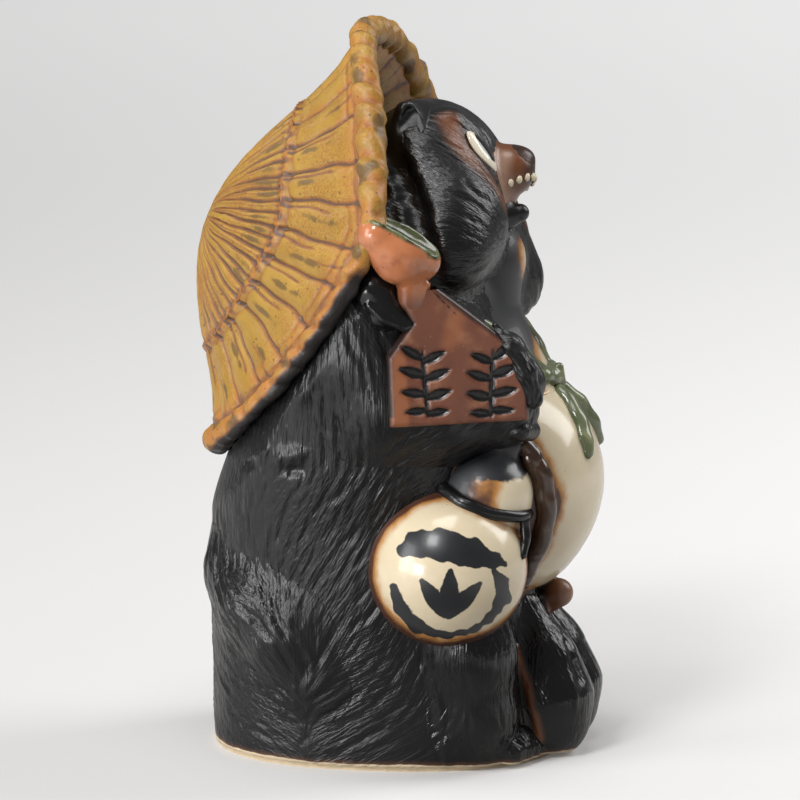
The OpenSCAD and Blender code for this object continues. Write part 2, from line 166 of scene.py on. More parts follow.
def noise(tree, where, scale, detail=3.0, rough=0.55):
    n = tree.nodes.new("ShaderNodeTexNoise")
    n.inputs["Scale"].default_value = scale
    n.inputs["Detail"].default_value = detail
    n.inputs["Roughness"].default_value = rough
    tree.links.new(where, n.inputs["Vector"])
    return n.outputs["Fac"]


def vector_dot(tree, where, axis):
    n = tree.nodes.new("ShaderNodeVectorMath")
    n.operation = "DOT_PRODUCT"
    link(tree, where, n.inputs[0])
    n.inputs[1].default_value = tuple(float(c) for c in axis)
    return n.outputs["Value"]


TABLE_PALE, TABLE_PALER = (0.685, 0.675, 0.67), (0.70, 0.69, 0.685)
DIM_CARD, PALE_CARD = (0.14, 0.135, 0.13), (0.72, 0.71, 0.70)
SWEEP = ((0.0, 0.07), (0.16, 0.20), (0.6, 0.54), (1.0, 0.60))

table_paint, tree = new_material("table_paint")
shader = tree.nodes.new("ShaderNodeBsdfPrincipled")
shader.inputs["Roughness"].default_value = 0.6
shader.inputs["Specular IOR Level"].default_value = 0.2
shader.inputs["Emission Color"].default_value = (1, 1, 1, 1)
where = tree.nodes.new("ShaderNodeTexCoord").outputs["Object"]
looked_at = tree.nodes.new("ShaderNodeLightPath").outputs["Is Camera Ray"]
back = vector_dot(tree, where, (0.985, 0.174, 0))
aside = vector_dot(tree, where, (0.174, -0.985, 0))
# bounced light meets a dimmer table in front of the figure, so that the black glaze keeps its depth
beside = ramp(tree, math_node(tree, "ABSOLUTE", aside), 0.05, 0.15, smooth=False)
behind = ramp(tree, back, -0.12, 0.05, smooth=False)
card = mix_colour(tree, math_node(tree, "MAXIMUM", beside, behind), DIM_CARD, PALE_CARD)
table_top = mix_colour(tree, noise(tree, where, 3.0, 2.0, 0.5), TABLE_PALE, TABLE_PALER)
link(tree, mix_colour(tree, looked_at, card, table_top), shader.inputs["Base Color"])
# the sweep of the backdrop: the table grows as pale as the tent with distance, and paler to the right
sweep = tree.nodes.new("ShaderNodeFloatCurve")
for k, (x, y) in enumerate(SWEEP):
    if k < 2:
        sweep.mapping.curves[0].points[k].location = (x, y)
    else:
        sweep.mapping.curves[0].points.new(x, y)
sweep.mapping.update()
link(tree, times(tree, back, 0.25), sweep.inputs["Value"])
share_aside = math_node(tree, "DIVIDE", aside, math_node(tree, "ADD", back, 1.18))
lift = math_node(tree, "ADD", times(tree, share_aside, 0.6), sweep.outputs["Value"])
link(tree, times(tree, lift, looked_at, clamp=True), shader.inputs["Emission Strength"])
done = tree.nodes.new("ShaderNodeOutputMaterial")
link(tree, shader.outputs[0], done.inputs["Surface"])
floor_mesh = bpy.data.meshes.new("table")
floor_mesh.from_pydata([(-9, -9, 0), (9, -9, 0), (9, 9, 0), (-9, 9, 0)], [], [(0, 1, 2, 3)])
floor = bpy.data.objects.new("table", floor_mesh)
bpy.context.scene.collection.objects.link(floor)
floor_mesh.materials.append(table_paint)


# Foot ring: the bare buff clay that the glaze was wiped from before the firing, so that the figure
# doesn't stick to the kiln shelf. It is part of the casting and only shows as a thin pale line.
def spots(tree, where, scale, size):
    # round dots, one in each cell
    n = tree.nodes.new("ShaderNodeTexVoronoi")
    n.inputs["Scale"].default_value = scale
    tree.links.new(where, n.inputs["Vector"])
    return ramp(tree, n.outputs["Distance"], size, size * 0.4)


def reading(tree, name):
    n = tree.nodes.new("ShaderNodeAttribute")
    n.attribute_name = name
    return n.outputs["Fac"]


def skin_group():
    # the skin that every glaze has: mottling, pinholes, orange peel
    g = bpy.data.node_groups.new("glaze_skin", "ShaderNodeTree")
    g.interface.new_socket("Position", in_out="INPUT", socket_type="NodeSocketVector")
    for name, value in (("Mottle Scale", 90.0), ("Pinhole Scale", 260.0), ("Pinhole Size", 0.06)):
        g.interface.new_socket(name, in_out="INPUT", socket_type="NodeSocketFloat").default_value = value
    for name in ("Mottle", "Pinholes", "Height"):
        g.interface.new_socket(name, in_out="OUTPUT", socket_type="NodeSocketFloat")
    a = g.nodes.new("NodeGroupInput")
    z = g.nodes.new("NodeGroupOutput")
    mottle = g.nodes.new("ShaderNodeTexNoise")
    mottle.inputs["Detail"].default_value = 4
    g.links.new(a.outputs["Position"], mottle.inputs["Vector"])
    g.links.new(a.outputs["Mottle Scale"], mottle.inputs["Scale"])
    cells = g.nodes.new("ShaderNodeTexVoronoi")
    g.links.new(a.outputs["Position"], cells.inputs["Vector"])
    g.links.new(a.outputs["Pinhole Scale"], cells.inputs["Scale"])
    hole = g.nodes.new("ShaderNodeMath")
    hole.operation = "LESS_THAN"
    g.links.new(cells.outputs["Distance"], hole.inputs[0])
    g.links.new(a.outputs["Pinhole Size"], hole.inputs[1])
    peel = g.nodes.new("ShaderNodeTexNoise")
    peel.inputs["Scale"].default_value = 420
    peel.inputs["Detail"].default_value = 2
    g.links.new(a.outputs["Position"], peel.inputs["Vector"])
    low = times(g, hole.outputs[0], -0.6)
    height = math_node(g, "ADD", times(g, peel.outputs["Fac"], 0.5), low)
    height = math_node(g, "ADD", height, times(g, mottle.outputs["Fac"], 0.5))
    g.links.new(mottle.outputs["Fac"], z.inputs["Mottle"])
    g.links.new(hole.outputs[0], z.inputs["Pinholes"])
    g.links.new(height, z.inputs["Height"])
    return g


glaze_skin = skin_group()


def glaze(name, paint, rough=(0.2, 0.4), bump=0.12, coat=0.0, mottle=90, pinhole=260, hole_size=0.06,
          gloss=0.5):
    # paint(tree, where, mottle, pinholes) gives the colour, an extra roughness and a relief, of which
    # the last two may be None
    m, tree = new_material(name)
    spot = tree.nodes.new("ShaderNodeTexCoord")
    where = spot.outputs["Object"]
    skin = tree.nodes.new("ShaderNodeGroup")
    skin.node_tree = glaze_skin
    link(tree, where, skin.inputs["Position"])
    skin.inputs["Mottle Scale"].default_value = mottle
    skin.inputs["Pinhole Scale"].default_value = pinhole
    skin.inputs["Pinhole Size"].default_value = hole_size
    shader = tree.nodes.new("ShaderNodeBsdfPrincipled")
    shader.inputs["Coat Weight"].default_value = coat
    shader.inputs["Specular IOR Level"].default_value = gloss
    shader.inputs["Coat Roughness"].default_value = 0.08
    colour, extra, relief = paint(tree, where, skin.outputs["Mottle"], skin.outputs["Pinholes"])
    link(tree, colour, shader.inputs["Base Color"])
    r = math_node(tree, "ADD", times(tree, skin.outputs["Mottle"], rough[1] - rough[0]), rough[0])
    if extra is not None:
        r = math_node(tree, "ADD", r, extra, clamp=True)
    link(tree, r, shader.inputs["Roughness"])
    height = skin.outputs["Height"]
    if relief is not None:
        height = math_node(tree, "ADD", height, relief)
    b = tree.nodes.new("ShaderNodeBump")
    b.inputs["Strength"].default_value = bump
    b.inputs["Distance"].default_value = 0.0006
    link(tree, height, b.inputs["Height"])
    link(tree, b.outputs[0], shader.inputs["Normal"])
    done = tree.nodes.new("ShaderNodeOutputMaterial")
    link(tree, shader.outputs[0], done.inputs["Surface"])
    return m


def clay_paint(tree, where, mottle, holes):
    fine = noise(tree, where, 500, 5)
    colour = mix_colour(tree, fine, (0.50, 0.38, 0.24), (0.74, 0.62, 0.44))
    return mix_colour(tree, holes, colour, (0.2, 0.1, 0.05)), times(tree, fine, 0.2), fine


bare_clay = glaze("bare_clay", clay_paint, rough=(0.6, 0.8), bump=0.5)
for n in range(len(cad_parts["foot_ring"].data.materials)):
    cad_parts["foot_ring"].data.materials[n] = bare_clay
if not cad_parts["foot_ring"].data.materials:
    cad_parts["foot_ring"].data.materials.append(bare_clay)


# Trunk: the hollow press-moulded body, open below, with the fur combed into the soft clay in short
# strokes before the black glaze. It follows the same back, front and width shares as the solid.
TRUNK_HEIGHT, WALL, FOOT = 168.0, 6.0, 1.4
BACK_REACH, FRONT_REACH, HALF_LOW, HALF_MORE = 57, 50, 42, 10.5
MID_Y, POWER = 6.0, 2.3
BACK = [0.983, 0.99, 0.995, 0.995, 1, 0.985, 0.93, 0.79, 0.52]
FRONT = [1, 0.9, 0.82, 0.78, 0.76, 0.72, 0.66, 0.54, 0.24]
WIDTH = [0, 0.1, 0.2, 0.33, 0.57, 0.81, 1, 0.86, -0.7]


def along(shares, u):
    # a smooth curve through evenly spaced shares
    s = np.array(shares, float)
    n = len(s) - 1
    x = np.clip(u, 0, 0.9999) * n
    i = np.floor(x).astype(int)
    t = x - i
    a, b, c, d = s[np.maximum(i - 1, 0)], s[i], s[i + 1], s[np.minimum(i + 2, n)]
    cubic = 3 * b - a - 3 * c + d
    return 0.5 * (2 * b + (c - a) * t + (2 * a - 5 * b + 4 * c - d) * t ** 2 + cubic * t ** 3)


def trunk_sizes(z):
    u = z / TRUNK_HEIGHT
    half = HALF_LOW + HALF_MORE * along(WIDTH, u)
    return BACK_REACH * along(BACK, u), FRONT_REACH * along(FRONT, u), half


def trunk_field(p, inset=0.0):
    back, front, half = trunk_sizes(p[:, 2])
    x, y = p[:, 0], p[:, 1] - MID_Y
    depth = np.where(y > 0, back - MID_Y, front + MID_Y) - inset
    k = ((np.abs(x) / (half - inset)) ** POWER + (np.abs(y) / depth) ** POWER + 1e-9) ** (1 / POWER)
    r = np.hypot(x, y)
    return np.maximum(np.maximum(r - r / k, p[:, 2] - TRUNK_HEIGHT), FOOT - p[:, 2])


# the hat's surface, which everything under it stays clear of
HAT_C, LEAN = np.array([0, 34.8, 153]), math.radians(20.4)
HAT_UP = np.array([0, -math.sin(LEAN), math.cos(LEAN)])
HAT_OUT = np.array([0, math.cos(LEAN), math.sin(LEAN)])
HAT_A, HAT_TOP, HAT_LOW, WIDE_AT, APEX = 61.0, 43.8, 87.0, 22.0, -3.0
DOME, BEND, HAT_T, RIM_R = 24.0, 30.0, 5.0, 4.6


def bell(distance, width):
    return np.exp(-(distance / width) ** 2)


def rim_xy(a):
    s = np.sin(a)
    up = s > 0
    x = np.where(up, np.sign(np.cos(a)) * np.maximum(1 - np.maximum(s, 0), 0) ** 0.35,
                 np.cos(a) * (1 + 0.06 * s))
    return np.stack([HAT_A * x, WIDE_AT + np.where(up, HAT_TOP, HAT_LOW) * s], -1)


def saddle(x):
    return -BEND * np.where(x > 0, 0.94, 1.0) * (x / HAT_A) ** 2


def rim_thick(y):
    # the bound rim is thick round the top, thin below the widest place, thicker again at the foot
    return RIM_R * np.interp(y, [-66, -48.4, 17.6, 33, 48.2, 65.8], [0.96, 0.66, 0.66, 1, 1, 0.86])


def dome(r, y=None):
    # the lower half is fuller than the upper one
    full = 0 if y is None else 2.4 * np.sin(math.pi * np.clip(r, 0, 1)) * np.clip(-y / 60, 0, 1)
    return DOME * (1 + np.cos(math.pi * np.clip(r, 0, 1) ** 1.1)) / 2 + full


rim_turn = np.radians(np.arange(0, 361, 1.0))
rim_line = rim_xy(rim_turn)
rim_bearing = np.arctan2(rim_line[:, 1] - APEX, rim_line[:, 0])
rim_reach = np.hypot(rim_line[:, 1] - APEX, rim_line[:, 0])
rim_order = np.argsort(rim_bearing)


def behind_hat(p, depth=HAT_T - 0.8):
    # how far a point is through the hat's inner face
    q = p - HAT_C
    high = q @ HAT_UP
    y, e = high - APEX, q @ HAT_OUT
    reach = np.interp(np.arctan2(y, q[:, 0]), rim_bearing[rim_order], rim_reach[rim_order],
                      period=2 * math.pi)
    r = np.hypot(q[:, 0], y) / reach
    limit = saddle(q[:, 0]) + dome(r, high) - depth
    return e - limit + np.clip((r - 0.92) / 0.08, 0, 1) * rim_thick(high) * 0.55


def under_hat(p):
    b = behind_hat(p)
    return p - HAT_OUT * (0.5 * (b + np.sqrt(b * b + 4)))[:, None]


# the comb: guide strokes as seen from the right side, (across, up, step across, step up), in mm
GUIDES = np.array([
    [-29, 110, 0.0, -1], [-16, 106, 0.1, -1], [-40, 84, -0.6, -1], [-28, 74, -0.5, -1],
    [-20, 62, -0.45, -1], [-12, 76, -0.6, -1], [-52, 90, 0.1, -1], [-52, 70, 0.4, -1],
    [-20, 50, -0.7, -1], [-14, 32, -1, -0.62], [-8, 22, -1, -0.6], [2, 12, -1, -0.7], [-8, 6, -1, -0.4],
    [-52, 46, 1, -0.45], [-50, 30, 1, -0.3], [-46, 12, 1, -0.2], [-32, 40, 0.6, -1],
    [22, 40, 0.1, -1], [30, 28, 0.15, -1], [34, 8, 0.5, -1], [12, 30, 0.0, -1],
    [10, 132, 0.3, -1], [-8, 128, 0.2, -1], [12, 96, -0.8, -0.6],
    [15, 193, 1, -0.05], [25, 192, 1, -0.6], [1, 183, 0.3, -1], [8, 176, 1, -0.35], [15, 166, 1, -0.32],
    [26, 156, 1, -0.12], [23, 143, 1, 0.3], [34, 153, 0.4, 1], [8, 158, 1, -0.2], [12, 149, 1, 0.0],
    [20, 176, 1, -0.6], [28, 166, 0.8, -0.8], [3, 168, 0.5, -1], [38, 152, 0.1, -1], [42, 146, -0.3, -1],
    [5, 187, 1, -0.5],
])


def flow(p, normal):
    # combed direction on the surface, the same on both sides of the figure
    m = p.copy()
    m[:, 0] = -np.abs(m[:, 0])
    u, w = m @ SIDE, m[:, 2]
    d2 = (u[:, None] - GUIDES[:, 0]) ** 2 + (w[:, None] - GUIDES[:, 1]) ** 2
    k = np.exp(-d2 / 2 / 9.0 ** 2) + 1e-9 / (d2 + 1)
    step = GUIDES[:, 2:] / np.linalg.norm(GUIDES[:, 2:], axis=1)[:, None]
    v = (k[:, :, None] * step).sum(1) / k.sum(1)[:, None]
    d = v[:, :1] * SIDE + v[:, 1:] * np.array([0.0, 0.0, 1.0])
    d -= (d * normal).sum(1)[:, None] * normal
    return d / np.maximum(np.linalg.norm(d, axis=1), 1e-6)[:, None]


def combed_turn(p, normal):
    # the combed direction as a doubled angle, which blends without a seam
    d = flow(p, normal)
    a = 2 * np.arctan2(d[:, 2], d @ SIDE)
    return np.cos(a), np.sin(a)


strokes = []


def comb(points, normals, count, seed, length=(5, 13), width=(0.7, 1.3), depth=(0.25, 0.6)):
    # choose stroke places on a piece; they are pressed into every piece that they reach
    rng = np.random.RandomState(seed)
    pick = rng.choice(len(points), count)
    direction = flow(points[pick], normals[pick])
    for c, n, d in zip(points[pick], normals[pick], direction):
        strokes.append(np.concatenate([c, n, d, [rng.uniform(*length), rng.uniform(*width),
                                                 rng.uniform(*depth), rng.uniform(-0.05, 0.05)]]))


def pressed(p, normal, pool):
    # depth of the comb marks at each point
    out = np.zeros(len(p))
    order = np.argsort(p[:, 2])
    zs = p[order, 2]
    for s in pool:
        c, n, d, (length, width, depth, bow) = s[:3], s[3:6], s[6:9], s[9:]
        a, b = np.searchsorted(zs, [c[2] - length * 0.6, c[2] + length * 0.6])
        ids = order[a:b]
        q = p[ids] - c
        near = np.einsum("ij,ij->i", q, q) < (length * 0.62) ** 2
        ids, q = ids[near], q[near]
        if not len(ids):
            continue
        t = q @ d / (length / 2)
        x = q @ np.cross(n, d) + bow * length * t * t
        facing = np.clip(normal[ids] @ n, 0, 1)
        inside = np.abs(t) < 1
        mark = bell(x, width) - 0.35 * bell(np.abs(x) - 1.7 * width, width)
        out[ids] += np.where(inside, depth * mark * (1 - t * t) ** 0.7 * facing, 0)
    return np.clip(out, -0.6, 1.1)


def wobble(p, size, seed):
    # slow hand-made unevenness, from a few crossed waves
    rng = np.random.RandomState(seed)
    total = np.zeros(len(p))
    for _ in range(7):
        k = rng.normal(0, 1, 3)
        k *= rng.uniform(0.6, 1.7) / np.linalg.norm(k) * 2 * math.pi / size
        total += np.sin(p @ k + rng.uniform(0, 6.28))
    return total / 7


# heights in metres of the bare clay's margin and of the rust above it
BARE_TO, BARE_FULL, RUST_TO, RUST_FULL = 0.0017, 0.0013, 0.003, 0.0016
BREAK = (0.15, 0.052, 0.020)
CLAY = (0.66, 0.53, 0.36)
SIDE = np.array([0.174, -0.985, 0.0])


def combed_hair(tree, where):
    # fine hair lines: long thin noise in six directions, mixed by the combed direction of each point
    deep = vector_dot(tree, where, (-0.985, -0.174, 0))
    total = weights = None
    for k in range(6):
        a = math.radians(30 * k)
        along = SIDE * math.cos(a) + np.array([0, 0, math.sin(a)])
        across = -SIDE * math.sin(a) + np.array([0, 0, math.cos(a)])
        place = tree.nodes.new("ShaderNodeCombineXYZ")
        link(tree, vector_dot(tree, where, along * 0.10), place.inputs[0])
        link(tree, vector_dot(tree, where, across), place.inputs[1])
        link(tree, times(tree, deep, 0.7), place.inputs[2])
        lines = noise(tree, place.outputs[0], 900, 2, 0.6)
        toward = math_node(tree, "ADD", times(tree, reading(tree, "comb_a"), math.cos(2 * a)),
                           times(tree, reading(tree, "comb_b"), math.sin(2 * a)))
        weight = math_node(tree, "POWER", math_node(tree, "MAXIMUM", toward, 0.0), 4.0)
        part = times(tree, weight, lines)
        total = part if total is None else math_node(tree, "ADD", total, part)
        weights = weight if weights is None else math_node(tree, "ADD", weights, weight)
    return math_node(tree, "DIVIDE", total, math_node(tree, "ADD", weights, 0.001))


def black_paint(tree, where, mottle, holes):
    # black, brown where "thin" says so, bare clay along the standing edge
    z = tree.nodes.new("ShaderNodeSeparateXYZ")
    link(tree, where, z.inputs[0])
    dark = mix_colour(tree, mottle, (0.0035, 0.0035, 0.004), (0.009, 0.0085, 0.009))
    thin = ragged(tree, reading(tree, "thin"), mottle, 0.35)
    colour = mix_colour(tree, ramp(tree, thin, 0.25, 1.0), dark, BREAK)
    colour = mix_colour(tree, ramp(tree, thin, 1.0, 1.7), colour, (0.33, 0.20, 0.14))
    wave = times(tree, noise(tree, where, 120, 2), 0.0014)
    edge = math_node(tree, "SUBTRACT", z.outputs[2], wave)
    bare = ramp(tree, edge, BARE_TO, BARE_FULL)
    colour = mix_colour(tree, bare, colour, CLAY)
    rust = times(tree, ramp(tree, edge, RUST_TO, RUST_FULL), 0.6)
    colour = mix_colour(tree, times(tree, rust, math_node(tree, "SUBTRACT", 1.0, bare)), colour,
                        (0.1, 0.04, 0.02))
    hair = ramp(tree, combed_hair(tree, where), 0.32, 0.68)
    extra = math_node(tree, "ADD", times(tree, bare, 0.5), times(tree, reading(tree, "satin"), 0.22))
    return colour, extra, times(tree, hair, 0.85)


black_glaze = glaze("black_glaze", black_paint, rough=(0.14, 0.34), bump=0.34, coat=0.0, mottle=70,
                    gloss=0.46)


def build_mesh(name, points, faces, attributes=None, smooth=True):
    # points in mm; attributes are named values, one for each point
    mesh = bpy.data.meshes.new(name)
    points = np.asarray(points, float) * MM
    mesh.vertices.add(len(points))
    mesh.vertices.foreach_set("co", points.reshape(-1))
    if isinstance(faces, np.ndarray):
        sizes, flat = np.full(len(faces), faces.shape[1]), faces.reshape(-1)
    else:
        sizes, flat = np.array([len(f) for f in faces]), np.concatenate([np.array(f) for f in faces])
    mesh.loops.add(int(sizes.sum()))
    mesh.loops.foreach_set("vertex_index", flat.astype(np.int32))
    mesh.polygons.add(len(sizes))
    mesh.polygons.foreach_set("loop_start", np.concatenate([[0], np.cumsum(sizes)[:-1]]).astype(np.int32))
    mesh.polygons.foreach_set("loop_total", sizes.astype(np.int32))
    mesh.update(calc_edges=True)
    mesh.validate()
    if smooth:
        mesh.polygons.foreach_set("use_smooth", np.ones(len(mesh.polygons), bool))
    for key, values in (attributes or {}).items():
        layer = mesh.attributes.new(key, "FLOAT", "POINT")
        layer.data.foreach_set("value", np.asarray(values, np.float32))
    obj = bpy.data.objects.new(name, mesh)
    bpy.context.scene.collection.objects.link(obj)
    return obj


def dress(obj, material, slot, *nodes):
    obj.data.materials.append(material)
    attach(obj, "root")
    if nodes:
        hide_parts(*nodes)
    return obj


def lattice_faces(rows, around, close_first=True, close_last=True):
    # quads between rings that run counter-clockwise seen from the last ring
    i = np.arange(around)
    j = (i + 1) % around
    quads = [np.stack([k * around + i, k * around + j, (k + 1) * around + j, (k + 1) * around + i], 1)
             for k in range(rows - 1)]
    faces = [tuple(f) for f in np.concatenate(quads)]
    n = rows * around
    if close_first:
        faces += [(n, int(b), int(a)) for a, b in zip(i, j)]
        n += 1
    if close_last:
        top = (rows - 1) * around
        faces += [(n, top + int(a), top + int(b)) for a, b in zip(i, j)]
    return faces


def ring_normals(rings):
    # outward normals of a stack of rings
    du = np.roll(rings, -1, 1) - np.roll(rings, 1, 1)
    dv = np.gradient(rings, axis=0)
    n = np.cross(du, dv)
    return n / np.maximum(np.linalg.norm(n, axis=2), 1e-9)[:, :, None]


def trunk_rings(levels, around, inset=0.0):
    z = np.repeat(np.asarray(levels)[:, None], around, 1)
    a = np.repeat(np.linspace(0, 2 * math.pi, around, endpoint=False)[None], len(levels), 0)
    back, front, half = trunk_sizes(z)

    def power(v):
        return np.sign(v) * np.abs(v) ** (2 / POWER)
    x = (half - inset) * power(np.cos(a))
    y = MID_Y + np.where(np.sin(a) > 0, back - inset - MID_Y, front - inset + MID_Y) * power(np.sin(a))
    return np.stack([x, y, z], -1)


def melt(a, b, k):
    # two forms run together like soft clay, over a width of k
    h = np.clip(0.5 + 0.5 * (b - a) / k, 0, 1)
    return b * (1 - h) + a * h - k * h * (1 - h)


def melt_all(parts, k):
    total = parts[0]
    for part in parts[1:]:
        total = melt(total, part, k)
    return total


def roll(p, balls, k=0.0):
    # a roll of clay through balls x, y, z, radius
    total = None
    for a, b in zip(balls, balls[1:]):
        a, b = np.array(a, float), np.array(b, float)
        ab = b[:3] - a[:3]
        t = np.clip((p - a[:3]) @ ab / (ab @ ab), 0, 1)
        d = np.linalg.norm(p - a[:3] - t[:, None] * ab, axis=1) - (a[3] + t * (b[3] - a[3]))
        total = d if total is None else (melt(total, d, k) if k else np.minimum(total, d))
    return total


RIDGES = [
    (np.array([[-47, -1, 152], [-50, 1, 144], [-52.5, 1.2, 138], [-52.7, 5.2, 134], [-51.3, 10.8, 130],
               [-48.4, 17, 123]]), 1.7, 1.2),
    (np.array([[-53, 8, 128], [-52, 14, 121], [-50, 20, 113]]), 0.8, 2.0),
    (np.array([[-37.3, 42.0, 91.2], [-40, 38.5, 91.8]]), -1.8, 1.7),
    (np.array([[-46.5, 24.5, 90.2], [-47.2, 21.5, 90.6]]), -1.3, 1.5),
    (np.array([[-46.0, 27.5, 93.5], [-47.3, 21.0, 95.5]]), 1.0, 2.2),
    (np.array([[-38.0, 43.0, 96.0], [-44.0, 34.0, 96.5]]), 1.1, 2.6),
    (np.array([[-44.5, 24, 42], [-45.4, 19, 30]]), -0.9, 0.8),
    (np.array([[-45.2, 20.5, 40], [-45.6, 16, 33.5]]), -0.7, 0.8),
]


def raised(p):
    # folds and dents of the press mould: lines of x, y, z with a height and a width
    total = np.zeros(len(p))
    for line, height, width in RIDGES:
        total += height * bell(np.maximum(roll(p, [(*q, 0.0) for q in line]), 0), width)
    return total


AROUND = 400
outer = trunk_rings(np.linspace(FOOT, TRUNK_HEIGHT - 2, 212), AROUND)
# even steps round each ring
steps = np.linalg.norm(np.roll(outer, -1, 1) - outer, axis=2)
length = np.concatenate([np.zeros((len(outer), 1)), np.cumsum(steps, 1)], 1)
for k in range(len(outer)):
    ring = np.vstack([outer[k], outer[k, :1]])
    want = np.linspace(0, length[k, -1], AROUND, endpoint=False)
    outer[k] = np.stack([np.interp(want, length[k], ring[:, c]) for c in range(3)], 1)
normals = ring_normals(outer)
flat_points, flat_normals = outer.reshape(-1, 3), normals.reshape(-1, 3)
comb(flat_points, flat_normals, 2300, 11, width=(0.55, 1.0), depth=(0.10, 0.46))
relief = raised(flat_points) - pressed(flat_points, flat_normals, strokes)
relief += 0.5 * wobble(flat_points, 40, 5)
relief *= np.clip((flat_points[:, 2] - FOOT) / 5, 0, 1)
shaped = under_hat(flat_points + flat_normals * relief[:, None])
inner = trunk_rings(np.linspace(FOOT, TRUNK_HEIGHT * 0.8, 16), AROUND, WALL)[::-1]
rings = np.concatenate([inner.reshape(-1, 3), shaped])
top_point = under_hat(np.array([[0.0, MID_Y, TRUNK_HEIGHT - 1.5]]))
points = np.concatenate([rings, [[0, MID_Y, TRUNK_HEIGHT * 0.8]], top_point])
satin = np.concatenate([np.zeros(len(inner.reshape(-1, 3))),
                        np.clip(0.35 + 0.8 * wobble(flat_points, 60, 8), 0, 1), [0, 0]])
shell = len(inner.reshape(-1, 3))
turned = [np.concatenate([np.zeros(shell), v, [0, 0]]) for v in combed_turn(flat_points, flat_normals)]
trunk_piece = build_mesh("trunk_skin", points, lattice_faces(len(points) // AROUND, AROUND),
                         {"thin": np.zeros(len(points)), "satin": satin, "comb_a": turned[0],
                          "comb_b": turned[1]})
dress(trunk_piece, black_glaze, "black_glaze", "trunk")


# Head: skull, two cheeks with combed ruffs, and brows, thrown as one lump and tilted to its left.
# Eyes, ears, muzzle, nose, jaw and teeth are pressed on one by one. Black glaze breaks to brown
# round the eyes and along the muzzle.
def carve(a, b, k=1.0):
    return -melt(-a, b, k)


def egg(p, centre, radii):
    q = (p - np.array(centre, float)) / np.array(radii, float)
    k = np.linalg.norm(q, axis=1)
    g = np.linalg.norm(q / np.array(radii, float), axis=1)
    return k * (k - 1) / np.maximum(g, 1e-6)


def skin(field, low, high, step):
    # the surface where field is zero, as quads, pulled exactly onto the field
    low = np.array(low, float)
    n = np.ceil((np.array(high, float) - low) / step).astype(int) + 1
    axes = [low[c] + step * np.arange(n[c]) for c in range(3)]
    values = np.empty(n, np.float32)
    yz = np.stack(np.meshgrid(axes[1], axes[2], indexing="ij"), -1).reshape(-1, 2)
    for k in range(0, n[0], 8):
        xs = axes[0][k:k + 8]
        block = np.empty((len(xs), len(yz), 3))
        block[:, :, 0] = xs[:, None]
        block[:, :, 1:] = yz
        values[k:k + 8] = field(block.reshape(-1, 3)).reshape(len(xs), n[1], n[2])
    inside = values < 0
    total = np.zeros((n[0] - 1, n[1] - 1, n[2] - 1, 3), np.float32)
    count = np.zeros(total.shape[:3], np.float32)
    crossings = []
    for c in range(3):
        a = [slice(None)] * 3
        b = [slice(None)] * 3
        a[c], b[c] = slice(None, -1), slice(1, None)
        va, vb = values[tuple(a)], values[tuple(b)]
        cross = inside[tuple(a)] != inside[tuple(b)]
        t = np.where(cross, va / np.where(cross, va - vb, 1), 0)
        crossings.append((cross, inside[tuple(a)]))
        o1, o2 = [d for d in range(3) if d != c]
        for s1 in (0, 1):
            for s2 in (0, 1):
                w = [slice(None)] * 3
                w[o1] = slice(s1, n[o1] - 1 + s1)
                w[o2] = slice(s2, n[o2] - 1 + s2)
                m = cross[tuple(w)]
                count += m
                total[..., c] += np.where(m, t[tuple(w)], 0)
                total[..., o1] += m * s1
                total[..., o2] += m * s2
    active = count > 0
    index = np.full(active.shape, -1)
    index[active] = np.arange(active.sum())
    where = np.argwhere(active)
    points = low + (where + total[active] / count[active][:, None]) * step
    faces = []
    for c in range(3):
        cross, start_in = crossings[c]
        u, v = (c + 1) % 3, (c + 2) % 3
        ids = np.argwhere(cross)
        ids = ids[(ids[:, u] > 0) & (ids[:, v] > 0) & (ids[:, u] < n[u] - 1) & (ids[:, v] < n[v] - 1)]
        start = start_in[tuple(ids.T)]
        corner = []
        for du, dv in ((-1, -1), (0, -1), (0, 0), (-1, 0)):
            cell = ids.copy()
            cell[:, u] += du
            cell[:, v] += dv
            corner.append(index[tuple(cell.T)])
        quad = np.stack(corner, 1)
        quad[~start] = quad[~start][:, ::-1]
        faces.append(quad)
    faces = np.concatenate(faces)
    for _ in range(2):
        g = gradient(field, points)
        f = field(points)
        points = points - np.clip(f, -step, step)[:, None] * g
    return points, faces, gradient(field, points)


def gradient(field, p, h=0.08):
    g = np.stack([field(p + h * e) - field(p - h * e) for e in np.eye(3)], 1)
    return g / np.maximum(np.linalg.norm(g, axis=1), 1e-9)[:, None]


def luted(own, body, k):
    # a piece pressed onto the body with a soft slip fillet that ends flush with the body
    return np.maximum(melt(own, body, k) + 0.06, own - 0.85 * k)


def clay_piece(name, field, low, high, step, material, slot, *nodes, combed=0, seed=0, bumpy=0.25,
               marks=None, hat_clear=True, reach=None, attributes=None):
    # a hand-built piece: its surface, the comb marks that reach it, and its painted values
    points, faces, normal = skin(field, low, high, step)
    if combed:
        before = len(strokes)
        comb(points, normal, combed, seed, **(marks or {}))
        pool = strokes if reach is None else strokes[before:]
    else:
        pool = strokes if reach is None else []
    lift = bumpy * wobble(points, 30, seed + 1) + raised(points)
    if pool:
        lift -= pressed(points, normal, pool)
    lift *= np.clip((points[:, 2] - FOOT) / 4, 0, 1)
    moved = points + normal * lift[:, None]
    if hat_clear:
        moved = under_hat(moved)
    moved[:, 2] = np.maximum(moved[:, 2], FOOT)
    values = {"thin": np.zeros(len(points)), "satin": np.full(len(points), 0.4)}
    if combed:
        values["comb_a"], values["comb_b"] = combed_turn(points, normal)
    for key, rule in (attributes or {}).items():
        values[key] = rule(points)
    obj = build_mesh(name, moved, faces, values)
    return dress(obj, material, slot, *nodes)


